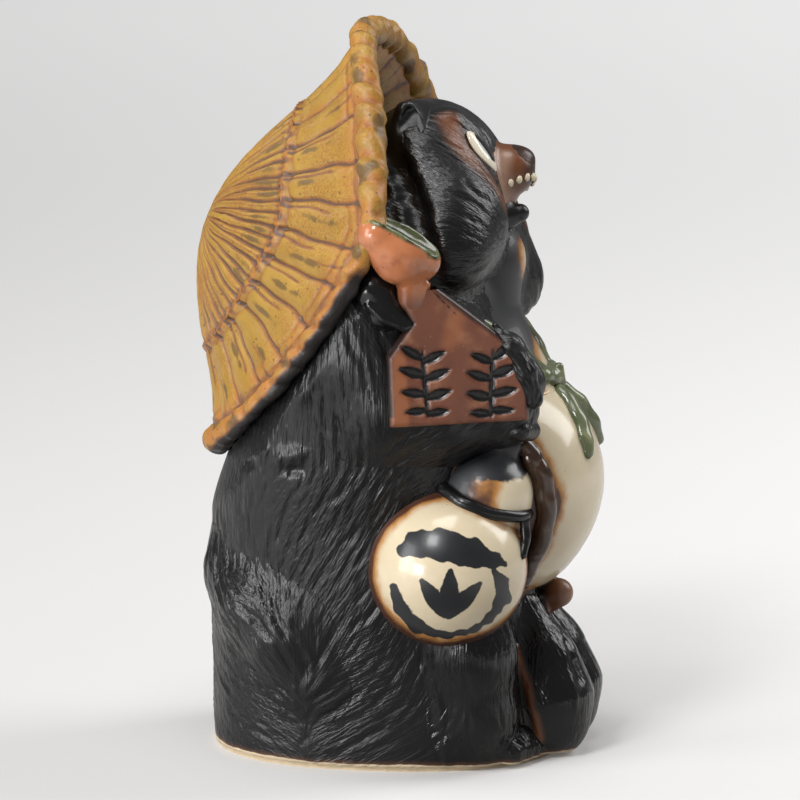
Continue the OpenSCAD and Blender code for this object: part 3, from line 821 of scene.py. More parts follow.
HEAD_C = np.array([0, -6.0, 162.0])
roll_a, turn_a = math.radians(18), math.radians(-4)
TURN = np.array([[math.cos(turn_a), -math.sin(turn_a), 0], [math.sin(turn_a), math.cos(turn_a), 0],
                 [0, 0, 1]])
TILT = np.array([[math.cos(roll_a), 0, math.sin(roll_a)], [0, 1, 0],
                 [-math.sin(roll_a), 0, math.cos(roll_a)]])
HEAD_R = TURN @ TILT


def to_head(p):
    return (p - HEAD_C) @ HEAD_R


def from_head(q):
    return np.atleast_2d(q) @ HEAD_R.T + HEAD_C


FRINGE = to_head(np.array([[-20, 3, 191], [-25, -0.5, 183.5], [-29, -4.5, 177], [-32.5, -7.5, 171.5],
                           [-37, -11, 165.5], [-42, -14, 157], [-44, -17, 149]]))


def head_field(p):
    q = to_head(p)
    parts = [egg(q, [0, -3, 6], [33, 24, 27])]
    for s in (-1, 1):
        parts.append(egg(q, [s * 16, -11, -8], [20, 20, 22]))
        parts.append(egg(q, [25 * s, -18.2 if s > 0 else -12, -16 if s > 0 else -17], [13, 16, 15]))
        parts.append(roll(q, [(s * 8, -17, 18, 3.2), (s * 18, -12, 23, 3.2)]))
        parts.append(roll(q, [(s * 8, -17, 18, 3.2), (s * 13, -8, 16, 8)]))
    parts.append(roll(q, [(0, -21, 12, 5), (0, -22, 4, 6)]))
    total = melt_all(parts, 5) + 0.6
    for s in (-1, 1):
        line = FRINGE * np.array([-s, 1, 1])
        total = carve(total, roll(q, [(*c, 3.4) for c in line], 2), 2.5)
    return total


def chest_field(p):
    return roll(p, [(0, -23, 147, 15), (0, -18, 131, 17), (0, -21.5, 112, 23.5)], 4)


def belly_field(p):
    return egg(p, [0, -24, 81], [37, 37.6, 37])


def neck_field(p):
    return np.minimum(trunk_field(p), chest_field(p))


EYE_LINE = np.array([[-16.0, -17.6, 190.0], [-19.0, -19.8, 184.5], [-20.0, -23.8, 178.0],
                     [-19.5, -28.8, 171.0], [-18.5, -32.0, 166.5]])


def near_line(p, line, width):
    return bell(np.maximum(roll(p, [(*c, 0.0) for c in line]), 0), width)


def head_thin(p):
    q = to_head(p)
    left = from_head(q * np.array([-1, 1, 1]))
    side = np.where(q[:, 0] < 0, near_line(p, EYE_LINE, 4.9), near_line(left, EYE_LINE, 4.9))
    return 0.92 * side


# two short folds in the cheek behind the eye
RIDGES += [
    (np.array([[-30.0, -25.0, 174.2], [-30.6, -27.2, 172.2], [-30.4, -29.0, 170.2], [-28.0, -31.4, 168.6]]),
     -1.5, 1.1),
    (np.array([[-32.0, -26.5, 172.0], [-32.3, -28.6, 169.5], [-30.6, -31.0, 167.2]]), 0.7, 1.2),
]


def head_piece_field(p):
    return luted(head_field(p), neck_field(p), 3)


clay_piece("head_fur", head_piece_field, (-52, -48, 112), (52, 26, 204), 0.95, black_glaze, "black_glaze",
           "head", combed=760, seed=21,
           marks={"length": (10, 26), "width": (0.5, 0.85), "depth": (0.06, 0.20)}, reach="own",
           attributes={"thin": head_thin})


# Ears: small cupped leaves pinched up between thumb and finger, pressed to the skull and luted
# round. They stay under the plain black glaze.


def ear_field(p, s):
    q = to_head(p) * np.array([-s, 1, 1])
    d = melt_all([roll(q, [(-21, 0, 14, 8), (-27.6, -0.2, 23.4, 2.6)]),
                  roll(q, [(-21, 0, 14, 8), (-15, 0, 24, 5)]),
                  roll(q, [(-26, -0.2, 22.6, 3.0), (-15, 0, 24, 4.6)])], 3)
    d = carve(d, roll(q, [(-31, -3.4, 12.5, 4.6), (-31, -3.0, 18.0, 4.5), (-29, -3.2, 22.4, 2.8)], 2), 1.0)
    return luted(d, head_field(p), 2.5)


for side, name in ((1, "left_ear"), (-1, "right_ear")):
    c = from_head(np.array([side * 22, 0, 20]))[0]
    clay_piece(name + "_leaf", lambda p, s=side: ear_field(p, s), c - 17, c + 17, 0.6, black_glaze,
               "black_glaze", name, seed=31, bumpy=0.15, reach="own")


# Muzzle, nose, jaw: a roll of clay for the snout, where the black glaze is wiped thin and fires
# brown, with a pellet for the nose and a small roll for the lower lip, all pressed to the head.
def muzzle_field(p):
    q = to_head(p)
    return luted(roll(q, [(0, -18, 8, 11), (0, -26.2, 12.2, 7.9)]), head_field(p), 3)


def muzzle_thin(p):
    q = to_head(p)
    tip = np.clip((q[:, 1] + 33) / 6, 0, 1) * np.clip((20.5 - q[:, 2]) / 5, 0, 1)
    return 0.55 + 0.95 * tip - 0.35 * np.clip((q[:, 1] + 21) / 4, 0, 1)


clay_piece("muzzle_snout", muzzle_field, from_head(np.array([0, -22, 10]))[0] - 22,
           from_head(np.array([0, -22, 10]))[0] + 22, 0.6, black_glaze, "black_glaze", "muzzle", seed=41,
           bumpy=0.15, reach="own",
           attributes={"thin": muzzle_thin, "satin": lambda p: np.full(len(p), 0.3)})


def muzzle_only(p):
    return roll(to_head(p), [(0, -18, 8, 11), (0, -26.2, 12.2, 7.9)])


clay_piece("nose_tip",
           lambda p: luted(egg(to_head(p), [0, -29.4, 15.8], [4.8, 4.4, 3.6]), muzzle_only(p), 1.2),
           from_head(np.array([0, -29.5, 16]))[0] - 8, from_head(np.array([0, -29.5, 16]))[0] + 8, 0.4,
           black_glaze, "black_glaze", "nose", seed=43, bumpy=0.1, reach="own",
           attributes={"thin": lambda p: np.full(len(p), 0.5)})
clay_piece("lower_lip",
           lambda p: luted(roll(to_head(p), [(0, -20, -3, 8), (0, -30.5, -0.5, 2.8)]), head_field(p), 2),
           from_head(np.array([0, -22, -2]))[0] - 16, from_head(np.array([0, -22, -2]))[0] + 16, 0.5,
           black_glaze, "black_glaze", "lower_jaw", seed=44, bumpy=0.15, reach="own",
           attributes={"thin": lambda p: 0.5 * np.clip((to_head(p)[:, 2] + 1) / 4, 0, 1)})


# Eyes: almond pads of clay pressed into the head, coated with white slip, with a black pupil
# brushed on before the clear glaze.
def eye_paint(tree, where, mottle, holes):
    white = mix_colour(tree, mottle, (0.70, 0.62, 0.48), (0.80, 0.74, 0.60))
    white = mix_colour(tree, ramp(tree, reading(tree, "rim"), 0.55, 1.0), white, (0.10, 0.045, 0.022))
    ink = ramp(tree, reading(tree, "ink"), 0.12, -0.12)
    return mix_colour(tree, ink, white, (0.006, 0.006, 0.007)), None, None


eye_glaze = glaze("eye_glaze", eye_paint, rough=(0.08, 0.16), bump=0.05, coat=0.3)
EYE_MID = to_head(np.array([[-13.4, -26.6, 180.6]]))[0]
EYE_LONG = (np.array([-14.0, -28.3, 175.9]) - np.array([-16.6, -21.6, 185.7])) @ HEAD_R
EYE_LONG /= np.linalg.norm(EYE_LONG)
EYE_OUT = gradient(head_field, from_head(EYE_MID))[0] @ HEAD_R
EYE_OUT -= EYE_OUT @ EYE_LONG * EYE_LONG
EYE_OUT /= np.linalg.norm(EYE_OUT)
EYE_ACROSS = np.cross(EYE_LONG, EYE_OUT)
if EYE_ACROSS[1] > 0:
    EYE_ACROSS = -EYE_ACROSS


def eye_frame(p, s):
    q = to_head(p) * np.array([-s, 1, 1]) - EYE_MID
    return q @ EYE_LONG, q @ EYE_ACROSS, q @ EYE_OUT


EYE_HALF_LENGTH, EYE_HALF_WIDTH, EYE_THICK = 7.4, 3.9, 1.6


def eye_field(p, s):
    # an almond, narrower towards the nose
    long, across, out = eye_frame(p, s)
    share = long / EYE_HALF_LENGTH
    taper = 1 - 0.45 * np.clip(share, 0, 1) ** 2 - 0.2 * np.clip(-share, 0, 1) ** 2
    q = np.stack([share, (across - 0.2) / (EYE_HALF_WIDTH * taper), out / EYE_THICK], 1)
    k = np.linalg.norm(q, axis=1)
    return (k - 1) * EYE_THICK


def eye_ink(p, s):
    long, across, _ = eye_frame(p, s)
    return (np.hypot((long + 0.2) / 5.4, (across - 1.7) / 3.0) - 1) * 3.0


for side, name in ((1, "left_eye"), (-1, "right_eye")):
    c = from_head(EYE_MID * np.array([-side, 1, 1]))[0]
    clay_piece(name + "_pad", lambda p, s=side: eye_field(p, s), c - 9, c + 9, 0.35, eye_glaze,
               "cream_glaze", name, seed=51, bumpy=0.0, hat_clear=False, reach="own",
               attributes={"ink": lambda p, s=side: eye_ink(p, s),
                           "rim": lambda p: np.clip(1.15 - np.maximum(head_field(p), 0) / 0.8, 0, 1)})


# Teeth: a row of small clay grains pressed in under the edge of the snout and touched with white
# slip, which stays cream over the brown glaze.
def slip_paint(tree, where, mottle, holes):
    cream = mix_colour(tree, mottle, (0.58, 0.48, 0.32), (0.74, 0.66, 0.50))
    rim = ramp(tree, reading(tree, "rim"), 0.5, 1.0)
    return mix_colour(tree, rim, cream, (0.12, 0.05, 0.02)), None, None


tooth_glaze = glaze("tooth_glaze", slip_paint, rough=(0.12, 0.25), bump=0.08)


def tooth_line():
    # the row runs down towards the cheeks, half sunk in the snout
    a = np.radians(np.arange(-80, 81, 20) + 10)[:-1]
    q = np.stack([6.4 * np.sin(a), -26.2 - 6.4 * np.cos(a), 10.6 - 5.0 * (1 - np.cos(a))], 1)
    for _ in range(4):
        p = from_head(q)
        q = q - (muzzle_only(p)[:, None] * gradient(muzzle_only, p)) @ HEAD_R
    return q


TOOTH_LINE = tooth_line()


def teeth_field(p):
    q = to_head(p)
    gum = roll(q, [(*c, 0.25) for c in TOOTH_LINE])
    return melt_all([gum + 0.15] + [egg(q, c, [1.0, 0.95, 1.35]) for c in TOOTH_LINE], 0.25)


mouth = from_head(np.array([0, -26, 8.5]))[0]
clay_piece("tooth_row", teeth_field, mouth - 11, mouth + 11, 0.3, tooth_glaze, "cream_glaze", "teeth",
           seed=45, bumpy=0.0, reach="own", hat_clear=False,
           attributes={"rim": lambda p: np.clip(1.1 - np.maximum(muzzle_only(p), 0) / 0.7, 0, 1)})


# Belly and throat: a cream glazed ball pressed on the trunk, with the throat above it. The cream
# scorches brown and then black where it meets the black glaze, and shows a fine crackle.
def cream_paint(tree, where, mottle, holes):
    cream = mix_colour(tree, mottle, (0.60, 0.49, 0.32), (0.74, 0.65, 0.48))
    scorch_and_shade = reading(tree, "scorch_and_shade")
    scorch_and_shade = ragged(tree, scorch_and_shade, noise(tree, where, 160, 4), times(tree, ramp(tree, scorch_and_shade, 0.02, 0.4), 0.7))
    # scorch: brown, then black next to the black glaze; on the flask it also carries painted shade round
    # the lower bulb's outline
    colour = mix_colour(tree, ramp(tree, scorch_and_shade, 0.12, 0.55), cream, (0.46, 0.21, 0.06))
    colour = mix_colour(tree, ramp(tree, scorch_and_shade, 0.45, 0.85), colour, (0.07, 0.026, 0.014))
    cells = tree.nodes.new("ShaderNodeTexVoronoi")
    cells.feature = "DISTANCE_TO_EDGE"
    cells.inputs["Scale"].default_value = 150
    link(tree, where, cells.inputs["Vector"])
    crackle = ramp(tree, cells.outputs["Distance"], 0.035, 0.0)
    colour = mix_colour(tree, times(tree, crackle, 0.05), colour, (0.42, 0.28, 0.14))
    speck = spots(tree, where, 230, 0.07)
    colour = mix_colour(tree, times(tree, speck, 0.5), colour, (0.2, 0.09, 0.03))
    ink = ragged(tree, reading(tree, "ink"), noise(tree, where, 380, 3), 1.1)
    mask = ramp(tree, ink, 0.2, -0.15)
    black = mix_colour(tree, mottle, (0.006, 0.006, 0.007), (0.03, 0.032, 0.036))
    dry = ramp(tree, ink, -0.2, 0.15)
    black = mix_colour(tree, times(tree, dry, 0.6), black, (0.10, 0.05, 0.03))
    dull = math_node(tree, "ADD", times(tree, ramp(tree, scorch_and_shade, 0.4, 0.8), 0.2), times(tree, mask, 0.12))
    return mix_colour(tree, mask, colour, black), dull, times(tree, mask, 0.6)


cream_glaze = glaze("cream_glaze", cream_paint, rough=(0.12, 0.24), bump=0.08, coat=0.12, mottle=45)
NO_INK = {"ink": lambda p: np.full(len(p), 9.0)}


def arm_field(p):
    return roll(p, [(-38, 8, 138, 12), (-42.5, 4, 122, 11.5), (-43.5, -3, 109, 11), (-40, -20, 105.5, 10.5),
                    (-36, -34, 106, 9.5)], 4)


def left_arm_field(p):
    return roll(p, [(38, 6, 138, 13), (46, 0, 122, 13), (47, -8, 108, 12), (42, -22, 104, 10),
                    (34, -34, 104, 9)], 4)


def belly_burn(p):
    d = np.minimum(np.minimum(trunk_field(p), arm_field(p)), left_arm_field(p))
    beside = roll(p, [(-31, -40, 99, 4), (-28, -48, 80, 5), (-28, -43, 60, 5)])
    return np.maximum(np.exp(-np.maximum(d - 0.6, 0) / 3.2), 0.85 * np.exp(-np.maximum(beside, 0) / 2.6))


clay_piece("belly_ball", lambda p: luted(belly_field(p), trunk_field(p), 4), (-41, -66, 42), (41, 6, 122),
           0.95, cream_glaze, "cream_glaze", "belly", seed=61, bumpy=0.5, reach="own",
           attributes={"scorch_and_shade": belly_burn, **NO_INK})


BLACK_TO, BROWN_TO = 34.6, 38.0


def throat_place(p):
    # how far forward a point of the throat lies, less the slope of the black's margin
    m = p.copy()
    m[:, 0] = -np.abs(m[:, 0])
    return m @ SIDE - 0.16 * np.clip(150 - p[:, 2], 0, 40)


def chest_burn(p):
    near = np.clip((BROWN_TO - throat_place(p)) / 4.5, 0, 1)
    seam = np.exp(-np.maximum(np.minimum(head_field(p), trunk_field(p)), 0) / 2.5)
    return np.clip(np.maximum(near * 1.2, seam), 0, 1)


def chest_ink(p):
    # black runs down both sides of the throat
    return (throat_place(p) - BLACK_TO) / 3


clay_piece("throat", lambda p: luted(chest_field(p), np.minimum(trunk_field(p), belly_field(p)), 4),
           (-28, -49, 86), (28, 6, 166), 0.9, cream_glaze, "cream_glaze", "chest", seed=63, bumpy=0.4,
           reach="own", attributes={"scorch_and_shade": chest_burn, "ink": chest_ink})


# Arms and paws: rolls of clay luted to the shoulders. The right paw grips the board, its fur
# combed over the edge; the left one lies on the belly.
def shoulder_body(p):
    return np.minimum(trunk_field(p), chest_field(p))


BROWN_EDGE = {"thin": lambda p: 0.7 * np.exp(-np.maximum(belly_field(p), 0) / 2.0)}
clay_piece("right_sleeve", lambda p: luted(arm_field(p), shoulder_body(p), 9), (-58, -45, 92),
           (-18, 24, 153), 0.85, black_glaze, "black_glaze", "right_arm", combed=160, seed=71,
           attributes=BROWN_EDGE, marks={"depth": (0.2, 0.4)})
clay_piece("left_sleeve", lambda p: luted(left_arm_field(p), shoulder_body(p), 9), (14, -46, 90),
           (62, 24, 154), 0.9, black_glaze, "black_glaze", "left_arm", combed=160, seed=72,
           attributes=BROWN_EDGE, marks={"depth": (0.2, 0.4)})


def paw_field(p):
    palm = roll(p, [(-35, -37.5, 107, 9), (-34, -39.7, 115.5, 8.3), (-35, -37, 124.5, 6.5)], 3)
    fingers = [roll(p, [(-34, -44.2 + 0.5 * k, 102 + 5.2 * k, 3.2),
                        (-41, -42.5 + 0.4 * k, 103 + 5.2 * k, 3)])
               for k in range(4)]
    # the fur that hangs over the board's upper corner
    cuff = roll(p, [(-47.4, -36.0, 134.5, 1.0), (-47.4, -40.6, 129.0, 2.2), (-45.9, -44.6, 121, 2.8),
                    (-44.4, -46.8, 112.8, 2.8)], 2)
    return melt_all([palm, cuff] + fingers, 1.2)


def left_paw_field(p):
    palm = roll(p, [(32, -37, 102, 9), (27, -40.5, 100, 7.5)])
    fingers = [roll(p, [(29, -41.5, 94 + 4.2 * k, 3.2),
                        (21, -46.5 + 0.8 * k, 93.5 + 4 * k, 2.8)]) for k in range(4)]
    return melt_all([palm] + fingers, 1.2)


clay_piece("right_fingers", lambda p: luted(paw_field(p), np.minimum(arm_field(p), shoulder_body(p)), 3),
           (-55, -55, 94), (-18, -24, 141), 0.55, black_glaze, "black_glaze", "right_paw", combed=140,
           seed=73, marks={"length": (3, 8), "width": (0.4, 0.6), "depth": (0.2, 0.4)}, reach="own",
           attributes=BROWN_EDGE)
clay_piece("left_fingers", lambda p: luted(left_paw_field(p), left_arm_field(p), 3), (12, -54, 90),
           (44, -24, 116), 0.6, black_glaze, "black_glaze", "left_paw", combed=90, seed=74,
           marks={"length": (3, 8), "width": (0.4, 0.6), "depth": (0.15, 0.3)}, reach="own",
           attributes=BROWN_EDGE)


# Board: a five-sided slab of clay with rounded edges, cut with two leaf sprigs that are filled
# with black, and its handle, with the orange lip and the green glaze that runs along it. The slab
# is held by the paw, and the handle is luted to the slab.
PLAQUE_AT, turn = np.array([-54.5, -6.5, 105.5]), math.radians(-90 + 17)
lean = math.radians(2)
across = np.array([math.cos(turn), math.sin(turn), 0])
out = np.array([math.sin(turn), -math.cos(turn), 0])
PLAQUE_R = np.stack([math.cos(lean) * across + math.sin(lean) * np.array([0, 0, 1.0]),
                     -math.sin(lean) * across + math.cos(lean) * np.array([0, 0, 1.0]), out], 1)
PLAQUE_EDGE = np.array([[0, 0], [40, 0], [40, 19], [13.2, 41], [10.6, 43], [4.8, 43], [4.4, 35.5],
                        [7.4, 29.8], [0, 20.2]], float)


def to_plaque(p):
    return (p - PLAQUE_AT) @ PLAQUE_R


def polygon_distance(x, y, poly):
    d = np.full(len(x), 1e9)
    inside = np.zeros(len(x), bool)
    for (ax, ay), (bx, by) in zip(poly, np.roll(poly, -1, 0)):
        ex, ey = bx - ax, by - ay
        t = np.clip(((x - ax) * ex + (y - ay) * ey) / (ex * ex + ey * ey), 0, 1)
        d = np.minimum(d, np.hypot(x - ax - t * ex, y - ay - t * ey))
        hit = ((ay > y) != (by > y)) & (x < ex * (y - ay) / (ey if ey else 1e-9) + ax)
        inside ^= hit
    return np.where(inside, -d, d)


def leaf(x, y, a, b, wide):
    # a brushed leaf from a to b, fat in the middle
    a, b = np.array(a, float), np.array(b, float)
    ab = b - a
    t = np.clip(((x - a[0]) * ab[0] + (y - a[1]) * ab[1]) / (ab @ ab), 0, 1)
    swell = 0.25 + 0.75 * np.sin(math.pi * np.clip(t * 0.9 + 0.08, 0, 1)) ** 0.8
    return np.hypot(x - a[0] - t * ab[0], y - a[1] - t * ab[1]) - wide * swell


SPRIG = [((0.3, -9.6), (-0.8, 9.5), 0.8), ((-0.8, 7), (-6.4, 10.6), 1.45), ((-0.4, 6), (5.4, 8.6), 1.35),
         ((-0.3, 2), (-7.2, 4.4), 1.6), ((0, 1), (6.6, 3.4), 1.5), ((0, -3.4), (-7, -2.2), 1.45),
         ((0.2, -4.4), (6.8, -2.6), 1.6), ((0.2, -8), (-6, -8.2), 1.25), ((0.3, -9), (6, -8.4), 1.3)]


def sprig_distance(x, y):
    d = np.full(len(x), 9.0)
    for cx, cy, flip in ((10.6, 12.6, 1), (29.4, 11.6, -1)):
        for a, b, w in SPRIG:
            d = np.minimum(d, leaf((x - cx) * flip, y - cy, a, b, w))
    return d


def plaque_field(p):
    q = to_plaque(p)
    side = polygon_distance(q[:, 0], q[:, 1], PLAQUE_EDGE) + 1.6
    face = np.abs(q[:, 2]) - 4 + 1.6
    slab = np.minimum(np.maximum(side, face), 0) + np.hypot(np.maximum(side, 0), np.maximum(face, 0)) - 1.6
    cut = np.where(q[:, 2] > 0, sprig_distance(q[:, 0], q[:, 1]), 9)
    return slab + 0.9 * np.clip(0.5 - cut / 1.1, 0, 1)


def board_paint(tree, where, mottle, holes):
    streak = noise(tree, where, 60, 5, 0.6)
    rust = mix_colour(tree, streak, (0.075, 0.026, 0.016), (0.20, 0.070, 0.036))
    rust = mix_colour(tree, ramp(tree, mottle, 0.5, 0.75), rust, (0.25, 0.105, 0.055))
    warm = math_node(tree, "ADD", reading(tree, "warm"), math_node(tree, "SUBTRACT", streak, 0.5))
    warm = times(tree, ramp(tree, warm, 0.3, 0.9), 0.75)
    rust = mix_colour(tree, warm, rust, (0.30, 0.105, 0.042))
    edge = ragged(tree, reading(tree, "rim"), streak, 0.9)
    colour = mix_colour(tree, ramp(tree, edge, 0.4, 1.1), rust, (0.028, 0.016, 0.014))
    colour = mix_colour(tree, times(tree, spots(tree, where, 330, 0.1), 0.6), colour, (0.36, 0.2, 0.1))
    ink = ramp(tree, ragged(tree, reading(tree, "ink"), noise(tree, where, 500, 3), 0.8), 0.25, -0.2)
    colour = mix_colour(tree, ink, colour, (0.007, 0.006, 0.006))
    return colour, times(tree, ink, -0.12), None


board_glaze = glaze("board_glaze", board_paint, rough=(0.26, 0.42), bump=0.2, mottle=140)


def plaque_rim(p):
    q = to_plaque(p)
    d = polygon_distance(q[:, 0], q[:, 1], PLAQUE_EDGE)
    top = np.clip((q[:, 1] - 20) / 12, 0, 1) * np.clip((q[:, 0] - 14) / 6, 0, 1)
    return np.clip(1.0 + d / 2.6, 0, 1) * (0.55 + 0.5 * (q[:, 1] > 3)) + 0.35 * top


def plaque_ink(p):
    # the leaves, and a broken black run down the gable
    x, y, z = to_plaque(p).T
    run = leaf(x, y, (11.0, 41.5), (21.5, 30.2), 0.75) + 0.5
    return np.where(z > 2, np.minimum(sprig_distance(x, y), run), 9)


def plaque_warm(p):
    # where the rust glaze fires more orange: along the left edge and up the gable
    x, y, _ = to_plaque(p).T
    left = bell(x - 3.2, 2.6) * np.clip((25 - y) / 5, 0, 1)
    gable = bell(x - 16 - 0.4 * (y - 20), 5) * np.clip((y - 17) / 6, 0, 1)
    return left + 0.7 * gable


low, high = PLAQUE_AT + [-6, -42, -4], PLAQUE_AT + [20, 8, 40]
clay_piece("board_slab", plaque_field, low, high, 0.5, board_glaze, "rust_glaze", "plaque", seed=75,
           bumpy=0.12, reach="own", hat_clear=False,
           attributes={"rim": plaque_rim, "warm": plaque_warm, "ink": plaque_ink})


def orange_paint(tree, where, mottle, holes):
    body = mix_colour(tree, mottle, (0.40, 0.12, 0.045), (0.56, 0.22, 0.095))
    body = mix_colour(tree, ramp(tree, noise(tree, where, 70, 4), 0.52, 0.72), body, (0.22, 0.075, 0.035))
    body = mix_colour(tree, spots(tree, where, 300, 0.09), body, (0.07, 0.025, 0.012))
    fall = ramp(tree, ragged(tree, reading(tree, "rim"), mottle, 0.7), 0.35, 0.75)
    lines = ramp(tree, noise(tree, where, 240, 4), 0.42, 0.55)
    body = mix_colour(tree, fall, body, mix_colour(tree, lines, (0.030, 0.034, 0.016), (0.13, 0.15, 0.06)))
    # painted shade: where the rim value passes 1, on the floor of the lip's hollow, the colour is darkened
    # half way to near-black
    body = mix_colour(tree, times(tree, ramp(tree, reading(tree, "rim"), 1.0, 1.25), 0.5), body,
                      (0.016, 0.014, 0.010))
    dark = ramp(tree, reading(tree, "thin"), 0.3, 1.0)
    return mix_colour(tree, dark, body, (0.135, 0.052, 0.030)), None, None


orange_glaze = glaze("orange_glaze", orange_paint, rough=(0.14, 0.28), bump=0.12, coat=0.2, mottle=110)
LIP_AT = np.array([0, 41.0, 0])


def lip_solid(p):
    return roll(to_plaque(p) - LIP_AT, [(-1.8, 15, 4.4, 6.1), (4.8, 8.6, 2.5, 7.2), (11.3, 6.3, 1, 5.2)], 6)


def lip_hollow(p):
    return roll(to_plaque(p) - LIP_AT, [(0.2, 22.0, 6.6, 3.8), (9.4, 17.0, 6.2, 3.8),
                                        (15.2, 11.8, 4.6, 2.8)], 2)


def handle_only(p):
    return roll(to_plaque(p) - np.array([9.6, 41, 0]), [(-2.2, -4, -0.4, 3.7), (-1.9, 4, 1, 4.2)])


# the green glaze's fall along the hollow's edge, and past 1 the painted shade on the hollow's floor
def lip_edge_and_hollow_shade(p):
    d = np.maximum(lip_hollow(p), 0)
    return np.clip(1.25 - d / 3.0, 0, 1.3)


def lip_thin(p):
    return 0.7 * np.clip(-(to_plaque(p)[:, 0] + 1) / 8, 0, 1)


lip_mid = PLAQUE_AT + PLAQUE_R @ np.array([4, 47, 1])
clay_piece("handle_lip_glazed",
           lambda p: luted(carve(lip_solid(p), lip_hollow(p), 1.2), handle_only(p), 3), lip_mid - 19,
           lip_mid + 19, 0.5, orange_glaze, "orange_glaze", "handle_lip", seed=76, bumpy=0.3, reach="own",
           hat_clear=False, attributes={"rim": lip_edge_and_hollow_shade, "thin": lip_thin})
clay_piece("board_handle", lambda p: luted(handle_only(p), plaque_field(p), 2), lip_mid + [-14, -14, -22],
           lip_mid + [14, 14, 6], 0.5, orange_glaze, "rust_glaze", "plaque_handle", seed=77, bumpy=0.2,
           reach="own",
           attributes={"rim": lambda p: np.zeros(len(p)),
                       "thin": lambda p: np.clip(1.15 - (to_plaque(p)[:, 1] - 33) / 11, 0.2, 1)})


# Sleeve fold: a roll of clay for the fold of the sleeve between the shoulder and the board's
# handle, luted to both under glossy black glaze.
def fold_field(p):
    own = roll(p, [(-49.5, 2, 151, 5.5), (-51.5, -1.5, 144, 6.3), (-53, -5, 138.5, 5),
                   (-54.5, -12, 135, 2)], 2)
    return luted(own, np.minimum(shoulder_body(p), arm_field(p)), 3)


RIDGES += [(np.array([[-57.5, -1, 141], [-58, -6, 136.5], [-56, -11, 134]]), 1.0, 0.9)]
clay_piece("sleeve_fold_roll", fold_field, (-62, -18, 124), (-40, 14, 160), 0.55, black_glaze,
           "black_glaze", "sleeve_fold", seed=78, bumpy=0.4, reach="own",
           attributes={"satin": lambda p: np.full(len(p), -0.4)})


# Gourd flask: two thrown bulbs and a neck in cream glaze, scorched orange at the margins, with a
# broken ring, three leaves and a black top brushed on. Towards the lower bulb's outline the scorch
# deepens with painted shade, most of all low on the left. It sits against the leg and the belly.
FLASK_LOW, FLASK_TOP = np.array([-37.0, -20.5, 61.5]), np.array([-32.56, -31.49, 82.52])
FLASK_R, FLASK_TOP_R = 23.5, 13.5


def flask_field(p):
    low = egg(p, FLASK_LOW, [FLASK_R] * 3)
    top = egg(p, FLASK_TOP, [FLASK_TOP_R] * 3)
    neck = roll(p, [(-32.6, -34, 91, 6), (-32.6, -37, 97, 5)], 2)
    return melt_all([low, top, neck], 2.5)


# brushed strokes in shares of the bulb's radius, seen from the right side: across, up, 0, width
UPPER_STROKE = [(-.56, .22, 0, .075), (-.38, .31, 0, .15), (-.07, .30, 0, .19), (.28, .20, 0, .17),
                (.54, .11, 0, .10), (.69, .05, 0, .03)]
LOWER_STROKE = [(-.66, -.22, 0, .05), (-.58, -.48, 0, .09), (-.36, -.73, 0, .075), (-.03, -.83, 0, .04),
                (.30, -.77, 0, .035), (.53, -.60, 0, .05), (.68, -.36, 0, .09), (.66, -.16, 0, .09),
                (.56, -.02, 0, .03)]
FLASK_LEAVES = (((-0.04, -0.56), (-0.32, -0.14), 0.10), ((0.0, -0.56), (0.03, -0.02), 0.11),
                ((0.03, -0.56), (0.38, -0.18), 0.095))
BLACK_TOP_FROM, BLACK_TOP_TO = 88.5, 20.0


def bulb_view(p):
    # a point of the lower bulb as seen from the right side, in shares of the bulb's radius
    q = (p - FLASK_LOW) / FLASK_R
    return q @ SIDE, q[:, 2] * 0.986 + q @ np.array([0.985, 0.174, 0]) * 0.165


def flask_ink(p):
    a, b = bulb_view(p)
    facing = ((p - FLASK_LOW) / FLASK_R @ np.array([-0.971, -0.171, 0.165])) > 0.15
    flat = np.stack([a, b, 0 * a], 1)
    upper, lower = roll(flat, UPPER_STROKE, 0.06), roll(flat, LOWER_STROKE, 0.05)
    d = np.minimum(upper, lower) + 0.012 * np.sin(31 * a + 17 * b)
    for base, tip, wide in FLASK_LEAVES:
        d = np.minimum(d, leaf(a, b, base, tip, wide))
    d = np.where(facing, d * FLASK_R, 9)
    high = flask_band(p) > -0.5
    cap = np.minimum((BLACK_TOP_FROM - p[:, 2]) / 3, (p @ SIDE - BLACK_TOP_TO) / 3) + 0.35 * wobble(p, 9, 4)
    return np.minimum(d, np.where(high, cap, 9))


def flask_scorch_and_shade(p):
    body = np.minimum(np.minimum(trunk_field(p), arm_field(p)),
                      roll(p, [(-33, -24, 50, 12), (-32, -28, 34, 13)]))
    edge = np.exp(-np.maximum(body - 0.8, 0) / 2.6)
    top = 0.62 * np.clip((29.5 + 0.35 * (p[:, 2] - 80) - p @ SIDE) / 5, 0, 1) * (flask_band(p) > 0)
    waist = 0.4 * bell(np.abs(flask_band(p)), 3)
    # brown deepening towards the lower bulb's outline as seen from the right side: scorch on the glaze,
    # plus painted shade where the band widens low on the left
    a, b = bulb_view(p)
    low_left, high_left = np.clip(-0.5 * a - 0.86 * b, 0, 1), np.clip(-0.6 * a + 0.8 * b, 0, 1)
    wide = 0.035 + 0.17 * low_left ** 2 + 0.07 * high_left ** 2
    outline_scorch_and_shade = 0.95 * np.exp(-np.maximum(1 - np.hypot(a, b), 0) / wide) * (flask_band(p) < 0)
    return np.clip(edge + top + waist + outline_scorch_and_shade, 0, 1)


def flask_band(p):
    axis = FLASK_TOP - FLASK_LOW
    gap = np.linalg.norm(axis)
    along_axis = (gap ** 2 + FLASK_R ** 2 - FLASK_TOP_R ** 2) / 2 / gap
    return (p - FLASK_LOW) @ axis / gap - along_axis


clay_piece("flask_gourd", flask_field, (-62, -50, 36), (-12, 5, 104), 0.6, cream_glaze, "cream_glaze",
           "flask", seed=81, bumpy=0.25, reach="own", hat_clear=False,
           attributes={"scorch_and_shade": flask_scorch_and_shade, "ink": flask_ink})


